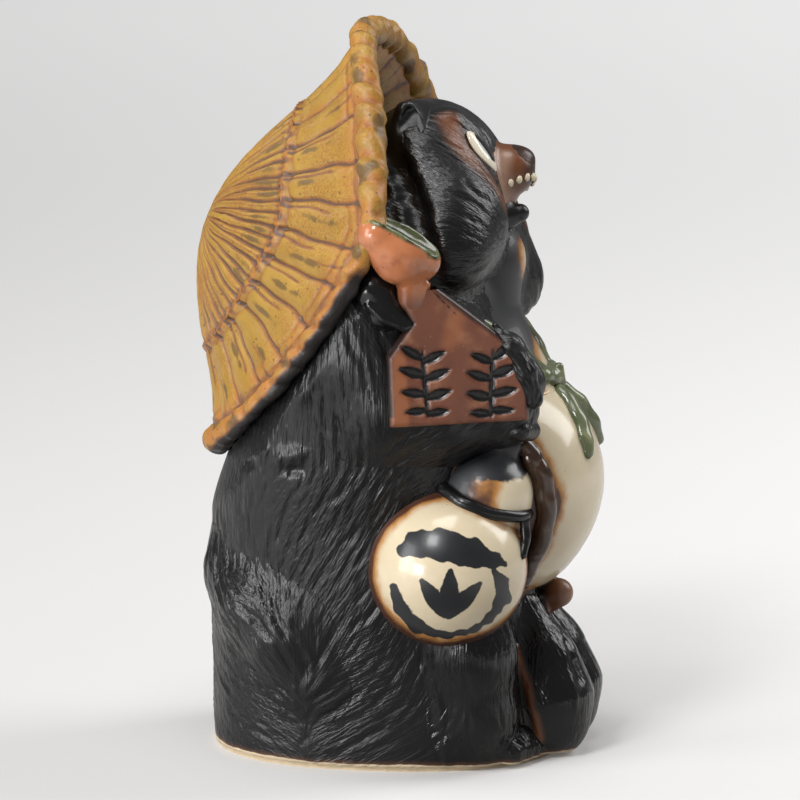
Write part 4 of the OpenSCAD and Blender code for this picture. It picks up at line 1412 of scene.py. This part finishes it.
# Flask cord: a thick smooth roll of clay laid round the flask's waist, with one end that hangs down
# the lower bulb, all under thick black glaze.
def join(name, *objs):
    # several meshes made one piece, with one material
    points, faces, n = [], [], 0
    for o in objs:
        v = np.empty(len(o.data.vertices) * 3)
        o.data.vertices.foreach_get("co", v)
        points.append(v.reshape(-1, 3) / MM)
        faces += [tuple(k + n for k in f.vertices) for f in o.data.polygons]
        n += len(o.data.vertices)
        bpy.data.objects.remove(o)
    return build_mesh(name, np.concatenate(points), faces, {"thin": np.zeros(n), "satin": np.zeros(n)})


def tube(name, line, radius, around=16, lumps=0.0, pitch=4.0, seed=0, attributes=None):
    # a roll of clay along a smooth line with closed round ends; radius is one value or one a point
    line = np.asarray(line, float)
    n = max(int(np.linalg.norm(np.diff(line, axis=0), axis=1).sum() / 0.7), 12)
    knots = np.concatenate([[0], np.cumsum(np.linalg.norm(np.diff(line, axis=0), axis=1))])
    r_list = np.full(len(line), radius) if np.isscalar(radius) else np.asarray(radius, float)
    t = np.linspace(0, knots[-1], n)
    path = np.stack([catmull_at(knots, line[:, c], t) for c in range(3)], 1)
    r = np.interp(t, knots, r_list)
    cap = np.minimum(np.minimum(t, knots[-1] - t) / np.maximum(r, 1e-6), 1)
    r = r * np.sqrt(np.clip(1 - (1 - cap) ** 2, 0.02, 1))
    tan = np.gradient(path, axis=0)
    tan /= np.linalg.norm(tan, axis=1)[:, None]
    u = np.cross(tan, [0.31, 0.22, 0.93])
    u /= np.linalg.norm(u, axis=1)[:, None]
    v = np.cross(tan, u)
    a = np.linspace(0, 2 * math.pi, around, endpoint=False)
    wave = 1 + lumps * np.sin(2 * math.pi * t[:, None] / pitch + a[None] + seed)
    spokes = u[:, None] * np.cos(a)[None, :, None] + v[:, None] * np.sin(a)[None, :, None]
    rings = path[:, None] + spokes * (r[:, None] * wave)[:, :, None]
    points = np.concatenate([rings.reshape(-1, 3), path[:1] - tan[:1] * 0.05, path[-1:] + tan[-1:] * 0.05])
    values = {k: f(points) for k, f in (attributes or {}).items()}
    return build_mesh(name, points, lattice_faces(n, around), values)


def catmull_at(knots, values, t):
    # smooth values between knots
    m = np.gradient(values, knots)
    i = np.clip(np.searchsorted(knots, t) - 1, 0, len(knots) - 2)
    h = knots[i + 1] - knots[i]
    x = (t - knots[i]) / h
    return ((2 * x ** 3 - 3 * x ** 2 + 1) * values[i] + (x ** 3 - 2 * x ** 2 + x) * h * m[i]
            + (-2 * x ** 3 + 3 * x ** 2) * values[i + 1] + (x ** 3 - x ** 2) * h * m[i + 1])


BAND = [(-33.0, -15.0, 89.0), (-37.6, -18.2, 86.8), (-42.2, -20.9, 84.8), (-46.0, -25.4, 82.9),
        (-46.7, -30.2, 80.9), (-44.9, -35.9, 78.9), (-42.0, -40.6, 78.0), (-37.5, -43.4, 77.4),
        (-32.5, -44.0, 77.6)]
cord = join("flask_cord_twist",
            tube("a", BAND, [1.6, 2.0, 2.2, 2.2, 2.1, 1.9, 1.8, 1.8, 1.6], 16, 0.05, 9.0),
            tube("b", [(-38.4, -43.2, 78), (-38.8, -43.8, 71.5), (-41.6, -43.2, 65.2)], [1.5, 1.6, 1.1],
                 12, 0.05, 7.0))
dress(cord, black_glaze, "black_glaze", "flask_cord")


# Hanging cord: the lumpy cord that runs down between flask and belly, a roll of clay with pellets
# set along it, amber and olive where its dark brown glaze is thin.
def pellet_tree():
    # clay pellets set along a line, turned to it and a little uneven; the hat's stitches are made so too
    g = bpy.data.node_groups.new("pellets_along_line", "GeometryNodeTree")
    g.is_modifier = True
    g.interface.new_socket("Geometry", in_out="INPUT", socket_type="NodeSocketGeometry")
    wanted = (("Count", "NodeSocketInt", 40), ("Length", "NodeSocketFloat", 0.004),
              ("Girth", "NodeSocketFloat", 0.002), ("Skew", "NodeSocketFloat", 0.5),
              ("Unevenness", "NodeSocketFloat", 0.15), ("Seed", "NodeSocketInt", 1),
              ("Glaze", "NodeSocketMaterial", None))
    for name, kind, value in wanted:
        item = g.interface.new_socket(name, in_out="INPUT", socket_type=kind)
        if value is not None:
            item.default_value = value
    g.interface.new_socket("Geometry", in_out="OUTPUT", socket_type="NodeSocketGeometry")
    a, z = g.nodes.new("NodeGroupInput"), g.nodes.new("NodeGroupOutput")
    curve = g.nodes.new("GeometryNodeMeshToCurve")
    even = g.nodes.new("GeometryNodeResampleCurve")
    tangent = g.nodes.new("GeometryNodeInputTangent")
    aim = g.nodes.new("FunctionNodeAlignEulerToVector")
    aim.axis = "Z"
    tilt = g.nodes.new("FunctionNodeRotateEuler")
    tilt.space = "LOCAL"
    lean_to = g.nodes.new("ShaderNodeCombineXYZ")
    ball = g.nodes.new("GeometryNodeMeshUVSphere")
    ball.inputs["Segments"].default_value = 12
    ball.inputs["Rings"].default_value = 8
    ball.inputs["Radius"].default_value = 1.0
    smooth = g.nodes.new("GeometryNodeSetShadeSmooth")
    size = g.nodes.new("ShaderNodeCombineXYZ")
    vary = g.nodes.new("FunctionNodeRandomValue")
    vary.data_type = "FLOAT"
    put = g.nodes.new("GeometryNodeInstanceOnPoints")
    real = g.nodes.new("GeometryNodeRealizeInstances")
    coat = g.nodes.new("GeometryNodeSetMaterial")
    lo = math_node(g, "SUBTRACT", 1.0, a.outputs["Unevenness"])
    hi = math_node(g, "ADD", 1.0, a.outputs["Unevenness"])
    w = g.links.new
    w(a.outputs["Geometry"], curve.inputs[0])
    w(curve.outputs[0], even.inputs["Curve"])
    w(a.outputs["Count"], even.inputs["Count"])
    w(even.outputs[0], put.inputs["Points"])
    w(tangent.outputs[0], aim.inputs["Vector"])
    w(aim.outputs[0], tilt.inputs[0])
    w(a.outputs["Skew"], lean_to.inputs["X"])
    w(lean_to.outputs[0], tilt.inputs[1])
    w(tilt.outputs[0], put.inputs["Rotation"])
    w(lo, vary.inputs[2])
    w(hi, vary.inputs[3])
    w(a.outputs["Seed"], vary.inputs["Seed"])
    w(times(g, a.outputs["Girth"], vary.outputs[1]), size.inputs["X"])
    w(times(g, a.outputs["Girth"], vary.outputs[1]), size.inputs["Y"])
    w(times(g, a.outputs["Length"], vary.outputs[1]), size.inputs["Z"])
    w(size.outputs[0], put.inputs["Scale"])
    w(ball.outputs[0], smooth.inputs[0])
    w(smooth.outputs[0], put.inputs["Instance"])
    w(put.outputs[0], real.inputs[0])
    w(real.outputs[0], coat.inputs[0])
    w(a.outputs["Glaze"], coat.inputs["Material"])
    w(coat.outputs[0], z.inputs[0])
    return g


pellets = pellet_tree()


def pellet_line(name, line, count, length, girth, skew, uneven, seed, material):
    # the line's points in mm; gives the pellets as a plain mesh
    mesh = bpy.data.meshes.new(name + "_line")
    mesh.from_pydata([tuple(q * MM) for q in np.asarray(line, float)],
                     [(k, k + 1) for k in range(len(line) - 1)], [])
    holder = bpy.data.objects.new(name + "_line", mesh)
    bpy.context.scene.collection.objects.link(holder)
    m = holder.modifiers.new("pellets", "NODES")
    m.node_group = pellets
    values = {"Count": count, "Length": length * MM, "Girth": girth * MM, "Skew": skew,
              "Unevenness": uneven, "Seed": seed, "Glaze": material}
    for item in pellets.interface.items_tree:
        if item.item_type == "SOCKET" and item.in_out == "INPUT" and item.name in values:
            m[item.identifier] = values[item.name]
    bpy.context.view_layer.update()
    done = bpy.data.meshes.new_from_object(holder.evaluated_get(bpy.context.evaluated_depsgraph_get()))
    holder.modifiers.clear()
    bpy.data.objects.remove(holder)
    done.name = name
    obj = bpy.data.objects.new(name, done)
    bpy.context.scene.collection.objects.link(obj)
    return obj


def amber_paint(tree, where, mottle, holes):
    body = mix_colour(tree, noise(tree, where, 260, 4), (0.012, 0.008, 0.007), (0.085, 0.040, 0.018))
    return mix_colour(tree, ramp(tree, mottle, 0.54, 0.78), body, (0.17, 0.12, 0.045)), None, None


amber_brown = glaze("amber_brown", amber_paint, rough=(0.12, 0.3), bump=0.2, coat=0.2, mottle=170)
HANGING = [(-31, -40, 99), (-29, -46, 90), (-28, -48, 80), (-27, -47, 70), (-28, -43, 60), (-29, -38, 50)]
cord = join("hanging_cord_twist", tube("a", HANGING, [2.8, 3.3, 3.4, 3.2, 2.8, 2.0], 16, 0.06, 11.0),
            pellet_line("b", HANGING, 8, 3.9, 2.9, 0.3, 0.24, 5, amber_brown))
dress(cord, amber_brown, "brown_glaze", "hanging_cord")


# Chin cord: strips of clay laid over the throat and joined by a knot on the chest, with two tails on
# the belly, under green glaze that pools olive and black.
def green_paint(tree, where, mottle, holes):
    body = mix_colour(tree, noise(tree, where, 150, 5), (0.032, 0.040, 0.022), (0.21, 0.24, 0.12))
    body = mix_colour(tree, ramp(tree, mottle, 0.55, 0.75), body, (0.34, 0.33, 0.19))
    return mix_colour(tree, ramp(tree, mottle, 0.4, 0.25), body, (0.035, 0.018, 0.010)), None, None


green_glaze = glaze("green_glaze", green_paint, rough=(0.12, 0.26), bump=0.15, coat=0.25, mottle=120)
for s, side in ((-1, "right"), (1, "left")):
    strip = [(s * 24, -26, 133), (s * 18.5, -33, 127), (s * 12.5, -39, 121), (s * 4, -44, 114)]
    dress(tube("chin_cord_%s_strip" % side, strip, [1.8, 2.0, 2.1, 2.1], 14, 0.06, 9.0, s), green_glaze,
          "green_glaze", "chin_cord_%s" % side)
    tail = [(s * 2, -47.2, 110), (s * 6, -52.8, 104), (s * 10, -56.8, 96), (s * 12, -58.8, 90)]
    dress(tube("knot_tail_%s_strip" % side, tail, [2.2, 2.8, 2.9, 1.7], 16, 0.07, 8.0, s), green_glaze,
          "green_glaze", "knot_tail_%s" % side)


def knot_field(p):
    loops = [egg(p, [0, -44.8, 112.5], [6, 4.4, 4]), egg(p, [-5.6, -43.8, 113.6], [4.6, 3.5, 3.2]),
             egg(p, [5.6, -43.8, 113.6], [4.6, 3.5, 3.2])]
    return melt_all(loops + [roll(p, [(0, -48, 115.4, 1.4), (0.4, -48.6, 110.4, 1.6)])], 0.8)


clay_piece("chin_knot_bow", knot_field, (-14, -55, 103), (14, -38, 121), 0.5, green_glaze, "green_glaze",
           "chin_knot", seed=83, bumpy=0.3, reach="own")


# Legs, feet, the two bag lobes, stub and tail: rolls of clay luted round the foot of the trunk,
# combed, with toes pressed in; the glaze thins to brown on the bag's edges and the stub's tip.
def leg_field(p):
    return roll(p, [(-33, -24, 50, 12), (-32, -27, 34, 12.5), (-29.5, -28, 16, 11.5), (-26, -27, 5, 10.5)],
                5)


def foot_field(p):
    parts = [roll(p, [(-25, -31, 6.5, 9.8), (-21, -37, 5.5, 8)])]
    for k in range(4):
        parts.append(roll(p, [(-28 + 3.2 * k, -34 - 2 * k, 6, 4.8),
                              (-29.5 + 4.2 * k, -38.5 - 2 * k, 4.4, 4.2)]))
    return melt_all(parts, 1.0)


def bag_field(p, s):
    return roll(p, [(s * 7, -39, 43, 6), (s * 9, -44.5, 28, 10), (s * 9.5, -46.5, 17, 13),
                    (s * 9.5, -47.5, 9.5, 11.2)], 5)


def mirrored(p):
    return p * np.array([-1.0, 1, 1])


def over_ring(d, p):
    return np.maximum(d, FOOT - p[:, 2])


def lower_body(p):
    return np.minimum(trunk_field(p), belly_field(p))


# the edge down the side of the leg
RIDGES += [
    (np.array([[-41.5, -15, 43], [-40.5, -17, 33], [-39.6, -19, 21], [-39.0, -20.5, 9], [-38.6, -21, 2]]),
     1.3, 1.5),
]
LOW_MARKS = {"length": (5, 12), "width": (0.55, 0.9), "depth": (0.2, 0.45)}
for side, mirror in (("right", False), ("left", True)):
    turn_over = mirrored if mirror else (lambda p: p)
    lo, hi = np.array([-52.0, -50, 0]), np.array([-12.0, -4, 68])
    if mirror:
        lo, hi = np.array([12.0, -50, 0]), np.array([52.0, -4, 68])
    clay_piece(side + "_leg_roll",
               lambda p, t=turn_over: over_ring(luted(leg_field(t(p)), lower_body(p), 5), p), lo, hi,
               0.75, black_glaze, "black_glaze", side + "_leg", combed=150, seed=84, marks=LOW_MARKS,
               attributes={"satin": lambda p: np.full(len(p), -0.3)})
    clay_piece(side + "_foot_toes",
               lambda p, t=turn_over: over_ring(luted(foot_field(t(p)), leg_field(t(p)), 2), p), lo,
               hi - [0, 8, 48], 0.6, black_glaze, "black_glaze", side + "_foot", combed=60, seed=85,
               marks={"length": (3, 7), "width": (0.4, 0.6), "depth": (0.15, 0.3)}, reach="own",
               attributes={"thin": lambda p: np.full(len(p), 0.1),
                           "satin": lambda p: np.full(len(p), -0.3)})


BAG_SIDE = [(-20.6, -38, 34), (-22.0, -42, 24), (-22.6, -45, 14), (-21.5, -46, 6)]


def bag_thin(p):
    q = p.copy()
    q[:, 0] = -np.abs(q[:, 0])
    seam = bell(np.abs(p[:, 0]), 1.2) * 0.5
    return 0.85 * near_line(q, BAG_SIDE, 2.2) + seam


# folds down the outer side and the front of each lobe
RIDGES += [(np.array(BAG_SIDE), 0.9, 1.3),
           (np.array([[-16, -52, 36], [-18.5, -55, 26], [-20, -57, 16]]), 0.7, 1.0),
           (np.array([[-12.5, -53, 35], [-15, -57, 24]]), -0.8, 1.4)]
for s, side in ((-1, "right"), (1, "left")):
    clay_piece("bag_%s_lobe" % side,
               lambda p, s=s: over_ring(luted(bag_field(p, s), lower_body(p), 4), p),
               (s * 9.5 - 16, -64, 0), (s * 9.5 + 16, -24, 54), 0.75, black_glaze, "black_glaze",
               "bag_%s" % side, combed=16, seed=86, marks={**LOW_MARKS, "depth": (0.08, 0.2)},
               reach="own", attributes={"thin": bag_thin, "satin": lambda p: np.full(len(p), -0.2)})


def stub_field(p):
    body = np.minimum(belly_field(p), np.minimum(bag_field(p, 1), bag_field(p, -1)))
    return luted(roll(p, [(0, -38, 41, 4.6), (0, -48.3, 46.8, 4.4)]), body, 2)


clay_piece("stub_roll", stub_field, (-8, -56, 33), (8, -32, 56), 0.5, black_glaze, "brown_glaze", "stub",
           seed=87, bumpy=0.25, reach="own",
           attributes={"thin": lambda p: 0.2 + 1.1 * np.clip((-p[:, 1] - 43.5) / 6, 0, 1)})


def tail_field(p):
    return roll(p, [(-2, 47, 56, 8), (-18, 44, 54, 10), (-29, 37, 47, 11), (-35, 27, 39, 11.5),
                    (-37, 20, 27, 8.5)], 4)


clay_piece("tail_leaf", lambda p: over_ring(luted(tail_field(p), trunk_field(p), 8), p), (-50, 4, 10),
           (14, 64, 70), 0.8, black_glaze, "black_glaze", "tail", combed=240, seed=88,
           marks={"depth": (0.25, 0.5), "length": (6, 16)},
           attributes={"satin": lambda p: 0.2 + 0.6 * np.clip((30 - p[:, 1]) / 10, 0, 1)})


# Hat: a travelling hat of straw bundles that run out from the crown, held by a ring of stitching,
# with a bound rim. It is modelled in clay as one shell; runny amber glaze gathers brown in the
# grooves and breaks to rust towards the rim, and the black of the body covers the rim's underside,
# where it is deepened with painted shade.
def hat_paint(tree, where, mottle, holes):
    grain = noise(tree, where, 1500, 3, 0.7)
    amber = mix_colour(tree, mottle, (0.245, 0.128, 0.015), (0.445, 0.268, 0.038))
    patch = ramp(tree, noise(tree, where, 50, 6, 0.7), 0.40, 0.60)
    patch = math_node(tree, "ADD", times(tree, patch, 0.8), 0.06)
    patch = times(tree, ramp(tree, grain, 0.46, 0.60), patch, clamp=True)
    amber = mix_colour(tree, patch, amber, (0.25, 0.095, 0.016))
    rusty = ramp(tree, ragged(tree, reading(tree, "rust"), noise(tree, where, 85, 6, 0.7), 1.7), 0.35, 0.95)
    rusty = times(tree, rusty, ramp(tree, grain, 0.36, 0.58))
    colour = mix_colour(tree, rusty, amber, (0.40, 0.135, 0.025))
    grooved = ragged(tree, reading(tree, "groove"), noise(tree, where, 240, 5, 0.7), 0.9)
    colour = mix_colour(tree, times(tree, ramp(tree, grooved, 0.16, 0.5), 0.85), colour,
                        (0.24, 0.085, 0.022))
    colour = mix_colour(tree, ramp(tree, grooved, 0.5, 0.9), colour, (0.105, 0.058, 0.034))
    dabs = ragged(tree, times(tree, reading(tree, "dab"), 1.25), noise(tree, where, 260, 5, 0.75), 1.9)
    colour = mix_colour(tree, times(tree, ramp(tree, dabs, 0.3, 0.9), 0.86), colour, (0.115, 0.066, 0.018))
    colour = mix_colour(tree, times(tree, spots(tree, where, 520, 0.2), 0.6), colour, (0.30, 0.10, 0.022))
    colour = mix_colour(tree, times(tree, holes, 0.75), colour, (0.085, 0.040, 0.014))
    # brown, then black, where the body's glaze runs onto the hat; on the rim's underside this black is also
    # painted shade
    black_run_and_shade = ramp(tree, ragged(tree, reading(tree, "black_run_and_shade"), noise(tree, where, 150, 4), 0.7), 0.42, 0.68)
    brown = ramp(tree, ragged(tree, reading(tree, "black_run_and_shade"), noise(tree, where, 150, 4), 0.9), 0.2, 0.5)
    colour = mix_colour(tree, brown, colour, (0.15, 0.055, 0.018))
    colour = mix_colour(tree, black_run_and_shade, colour, (0.012, 0.009, 0.008))
    return colour, times(tree, grain, 0.12), times(tree, grain, 0.5)


hat_glaze = glaze("hat_glaze", hat_paint, rough=(0.30, 0.46), bump=0.42, coat=0.06, mottle=120, pinhole=330,
                  hole_size=0.12)
# the rim's length against its angle, so that bundles are spaced evenly
rim_fine = np.radians(np.linspace(0, 360, 1441))
rim_path = rim_xy(rim_fine)
rim_run = np.concatenate([[0], np.cumsum(np.linalg.norm(np.diff(rim_path, axis=0), axis=1))])
RIM_LENGTH = rim_run[-1]


def rim_angle(share):
    return np.interp(share * RIM_LENGTH, rim_run, rim_fine)


def hat_place(q, e):
    return HAT_C + q[..., :1] * np.array([1.0, 0, 0]) + q[..., 1:2] * HAT_UP + e[..., None] * HAT_OUT


def hat_seam(edge_xy):
    # the wall ends where the bound rim begins
    inside = np.sqrt(rim_thick(edge_xy[:, 1]) ** 2 - (HAT_T / 2) ** 2)
    return 1 - inside / np.hypot(edge_xy[:, 0], edge_xy[:, 1] - APEX)


def groove_mark(share, edges):
    # the place across a bundle, its width in shares of the whole turn, and its number
    k = np.searchsorted(edges, share % 1.0) - 1
    a, b = edges[k % len(edges)], edges[(k + 1) % len(edges)]
    wide = (b - a) % 1.0
    return ((share - a) % 1.0) / wide, wide, k % len(edges)


BUNDLES, FINE_BUNDLES = 28, 56
rng = np.random.RandomState(91)
OUTER = np.sort((np.arange(BUNDLES) + rng.uniform(-0.05, 0.05, BUNDLES)) / BUNDLES % 1.0)
INNER = np.sort((np.arange(FINE_BUNDLES) + rng.uniform(-0.14, 0.14, FINE_BUNDLES)) / FINE_BUNDLES % 1.0)
HAT_ROUND = 560
share = np.arange(HAT_ROUND) / HAT_ROUND
edge_xy = rim_xy(rim_angle(share))
seam = hat_seam(edge_xy)
RING_AT, REACH = 0.64, 62.0
rows = np.concatenate([np.linspace(0.03, 0.6, 52), np.linspace(0.606, 0.674, 15), np.linspace(0.68, 1, 52)])


def chance(k, a, b):
    x = np.sin(k * a + b) * 43758.5453
    return x - np.floor(x)


def straw(rows, share):
    # relief in mm, groove, dab and rust masks of the straw bundles
    S, T = np.meshgrid(share, rows)
    bend = 0.0016 * np.sin(T * 15 + S * 40) + 0.0008 * np.sin(T * 37 + S * 90)
    outer_x, outer_w, outer_k = groove_mark(S + bend, OUTER)
    inner_x, inner_w, inner_k = groove_mark(S + bend, INNER)
    out_zone = T > RING_AT
    x = np.where(out_zone, outer_x, inner_x)
    wide = np.where(out_zone, outer_w, inner_w) * RIM_LENGTH * T
    k = np.where(out_zone, outer_k, inner_k + 40)
    d = np.minimum(x, 1 - x) * wide
    cut = bell(d, 0.62)
    pick, pick2, pick3 = chance(k, 12.9898, 0.3), chance(k, 78.233, 3.0), chance(k, 39.425, 1.7)
    # a shorter line beside some of the grooves, and broken ends near the crown
    beside = (x - (0.20 + 0.06 * pick)) * wide
    second = bell(beside, 0.5) * out_zone * (pick2 > 0.25) * np.clip((0.93 - 0.12 * pick3 - T) / 0.03, 0, 1)
    third = bell((x - 0.55) * wide, 0.45) * out_zone * (pick > 0.6) * np.clip((T - 0.80) / 0.03, 0, 1)
    mild = 0.55 * bell(d, 2.6) * out_zone
    crown = 0.45 * (1 - (2 * x - 1) ** 2) * np.clip(wide / 6, 0.1, 1)
    away = (T - RING_AT - 0.004 * np.sin(S * 130)) * REACH
    ring = bell(away, 0.95)
    ring_side = bell(np.abs(away) - 1.7, 0.6)
    last = bell((1 - T) * REACH, 1.3)
    hem = bell((0.955 - T) * REACH - 1.2 * (2 * x - 1) ** 2, 0.8) * (pick3 > 0.3)
    fade = np.where(out_zone, 1.0, np.clip((T - 0.12 - 0.2 * (k % 2)) / 0.16, 0, 1))
    relief = (crown - 0.85 * cut - mild - 0.35 * second - 0.3 * third) * fade * (1 - 0.7 * ring)
    relief = relief + 0.75 * ring - 0.3 * ring_side - 0.5 * last - 0.35 * hem
    hair = bell((x - 0.5) * wide, 0.3) * (~out_zone) * (pick3 > 0.5) * 0.5
    dots = np.clip(np.sin(S * 2 * math.pi * FINE_BUNDLES + 0.5) * 1.5, 0, 1)
    groove = np.maximum(cut * fade, 0.85 * second) + 0.6 * third + 0.4 * ring_side + 0.45 * last
    groove = np.clip(groove + 0.4 * hem + hair + 0.7 * ring * dots + 0.2 * ring, 0, 1)
    groove = groove * np.clip((T - 0.05) / 0.1, 0, 1)
    near_ring = bell((T - 0.735 - 0.07 * pick) * REACH, 3.6) * (0.15 + 0.95 * pick2)
    near_rim = bell((T - 0.90 + 0.07 * pick2) * REACH, 3.2) * (0.1 + 0.95 * pick)
    near_in = bell((T - 0.52 - 0.06 * pick) * REACH, 4.2) * (0.25 + 0.9 * pick2)
    centre = np.where(out_zone, bell((x - 0.32 - 0.4 * pick3) * wide, 1.15), bell((x - 0.5) * wide, 1.0))
    dab = np.where(out_zone, np.maximum(near_ring, near_rim), near_in) * centre
    rust = 0.55 * bell((1 - T) * REACH, 7) + 0.4 * bell(d, 1.5) * fade + 0.6 * ring + 0.12
    return relief, groove, dab, rust, T


def hat_rows(rows, depth):
    relief, groove, dab, rust, T = straw(rows, share)
    R = T * seam[None]
    q = np.array([0, APEX]) * (1 - R)[..., None] + edge_xy[None] * R[..., None]
    flat = hat_place(q, saddle(q[..., 0]) + dome(R, q[..., 1]) - depth)
    return relief, groove, dab, rust, T, flat


relief, groove, dab, rust, T, flat = hat_rows(rows, 0.0)
hat_normal = ring_normals(flat)
if (hat_normal[5, 0] @ HAT_OUT) < 0:
    hat_normal = -hat_normal
flat_list = flat.reshape(-1, 3)
uneven = (0.45 * wobble(flat_list, 40, 93) + 0.15 * wobble(flat_list, 7, 94)).reshape(T.shape)
top = flat + hat_normal * ((relief - 0.1 + uneven) * np.where(T > 0.995, 0, 1))[..., None]
rows_in = np.concatenate([np.linspace(1, 0.66, 22), np.linspace(0.6, 0.2, 12)])
relief_in, groove_in, dab_in, rust_in, T_in, below = hat_rows(rows_in, HAT_T)
below = below - HAT_OUT * (0.5 * relief_in * np.where(T_in > 0.97, 0, 1))[..., None]
apex_top = hat_place(np.array([[0, APEX]]), np.array([DOME]))
apex_in = hat_place(np.array([[0, APEX]]), np.array([DOME - HAT_T]))
points = np.concatenate([np.concatenate([top, below]).reshape(-1, 3), apex_top, apex_in])
faces = [f[::-1] for f in lattice_faces(len(rows) + len(rows_in), HAT_ROUND)]
low_edge = 0.33 * np.clip((152 - flat[..., 2]) / 12, 0, 1) * bell((1 - T) * 60, 3.5)


def both(a, b):
    return np.concatenate([a.reshape(-1), b.reshape(-1), [0, 0]])


hat_piece = build_mesh("hat_straw", points, faces,
                       {"groove": both(groove, groove_in), "dab": both(dab, 0.4 * dab_in),
                        "rust": both(rust, rust_in + 0.2), "black_run_and_shade": both(low_edge, 0 * T_in)})
dress(hat_piece, hat_glaze, "amber_glaze", "hat_dome")


# Hat rim: a roll of clay round the hat's edge for the bound straw, lumpy where the binding draws it
# in. Its lower half is thin and half covered by the body's black glaze, and painted shade darkens it
# on the side that faces the body.
RIM_STEPS, RIM_ROUND, BINDING_PITCH = 900, 28, 7.6
share_r = np.arange(RIM_STEPS) / RIM_STEPS
p_r = rim_xy(rim_angle(share_r))
d_r = (p_r - [0, APEX]) / np.linalg.norm(p_r - [0, APEX], axis=1)[:, None]
phi = np.linspace(0, 2 * math.pi, RIM_ROUND, endpoint=False)
run_r = share_r * RIM_LENGTH
height_r = hat_place(p_r, saddle(p_r[:, 0]))[:, 2]
lower = np.clip((156 - height_r) / 10, 0, 1)
rng = np.random.RandomState(95)
knots_r = np.linspace(0, RIM_LENGTH, 57)
size_a, size_b, slip = rng.uniform(0.5, 1.3, 57), rng.uniform(0.5, 1.3, 57), rng.uniform(-0.9, 0.9, 57)
for list_r in (size_a, size_b, slip):
    list_r[-1] = list_r[0]
lump_a, lump_b, shift = (np.interp(run_r, knots_r, v)[:, None] for v in (size_a, size_b, slip))
turns_r = round(RIM_LENGTH / BINDING_PITCH)
wave_r = 2 * math.pi * turns_r * share_r[:, None] + shift
facing_out = np.cos(phi - 0.5)[None]
out_side, in_side = np.clip(facing_out, 0, 1) ** 0.7, np.clip(-facing_out, 0, 1) ** 0.7
swell = 1.0 + 0.25 * lump_a * np.sin(wave_r) * out_side + 0.16 * lump_b * np.sin(wave_r + 2.4) * in_side
r_r = rim_thick(p_r[:, 1])[:, None] * swell
q_r = p_r[:, None] + d_r[:, None] * (np.cos(phi)[None] * r_r)[..., None]
rim_points = hat_place(q_r, (saddle(p_r[:, 0]) - HAT_T / 2)[:, None] + np.sin(phi)[None] * r_r)
middle = hat_place(p_r, saddle(p_r[:, 0]) - HAT_T / 2)[:, None]
away = rim_points - middle
rough_r = 0.13 * wobble(rim_points.reshape(-1, 3), 6, 97) + 0.16 * wobble(rim_points.reshape(-1, 3), 11, 99)
rim_points = middle + away * (1 + rough_r.reshape(RIM_STEPS, RIM_ROUND))[..., None]
ids = np.arange(RIM_STEPS * RIM_ROUND).reshape(RIM_STEPS, RIM_ROUND)
nxt, nph = np.roll(ids, -1, 0), np.roll(ids, -1, 1)
rim_faces = np.stack([ids, nxt, np.roll(nph, -1, 0), nph], -1).reshape(-1, 4)
swell = swell + rough_r.reshape(swell.shape)
valley = np.clip(1.0 - (swell - 0.76) / 0.22, 0, 1)
spot = rim_points.reshape(-1, 3)
back_side = np.clip(0.42 - np.sin(phi - 0.35), 0, 1)[None]
patches = np.clip(wobble(spot, 14, 98), 0, 1).reshape(swell.shape)
rim_rust = 0.48 + 0.55 * valley + 0.3 * lower[:, None] + 0.6 * patches
rim_groove = 0.4 * valley + 0.35 * bell(phi - 2.6, 0.25)[None]
rim_dab = np.clip(wobble(spot, 8, 96) * 1.8 - 0.05, 0, 1)
# black glaze and painted shade on the side of the lower rim that faces the body
rim_black_run_and_shade = lower[:, None] * back_side * 1.1
rim_piece = build_mesh("hat_rope", spot, rim_faces,
                       {"groove": rim_groove.reshape(-1), "dab": rim_dab, "rust": rim_rust.reshape(-1),
                        "black_run_and_shade": rim_black_run_and_shade.reshape(-1)})
dress(rim_piece, hat_glaze, "amber_glaze", "hat_rim")


# Stitches: short pellets of clay pressed over the ring that holds the bundles, by the same node
# tree as the hanging cord's pellets, in the hat's glaze.
ring_share = np.linspace(0, 1, 241)
ring_xy = rim_xy(rim_angle(ring_share % 1.0))
ring_r = RING_AT * hat_seam(ring_xy)
ring_q = np.array([0, APEX]) * (1 - ring_r)[:, None] + ring_xy * ring_r[:, None]
ring_line = hat_place(ring_q, saddle(ring_q[:, 0]) + dome(ring_r, ring_q[:, 1]) + 0.35)
stitches = pellet_line("hat_stitches", ring_line, 57, 2.2, 0.5, 0.10, 0.2, 7, hat_glaze)
for key, value in (("groove", 0.5), ("dab", 0.0), ("rust", 0.9), ("black_run_and_shade", 0.0)):
    layer = stitches.data.attributes.new(key, "FLOAT", "POINT")
    layer.data.foreach_set("value", np.full(len(stitches.data.vertices), value, np.float32))
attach(stitches, "root")
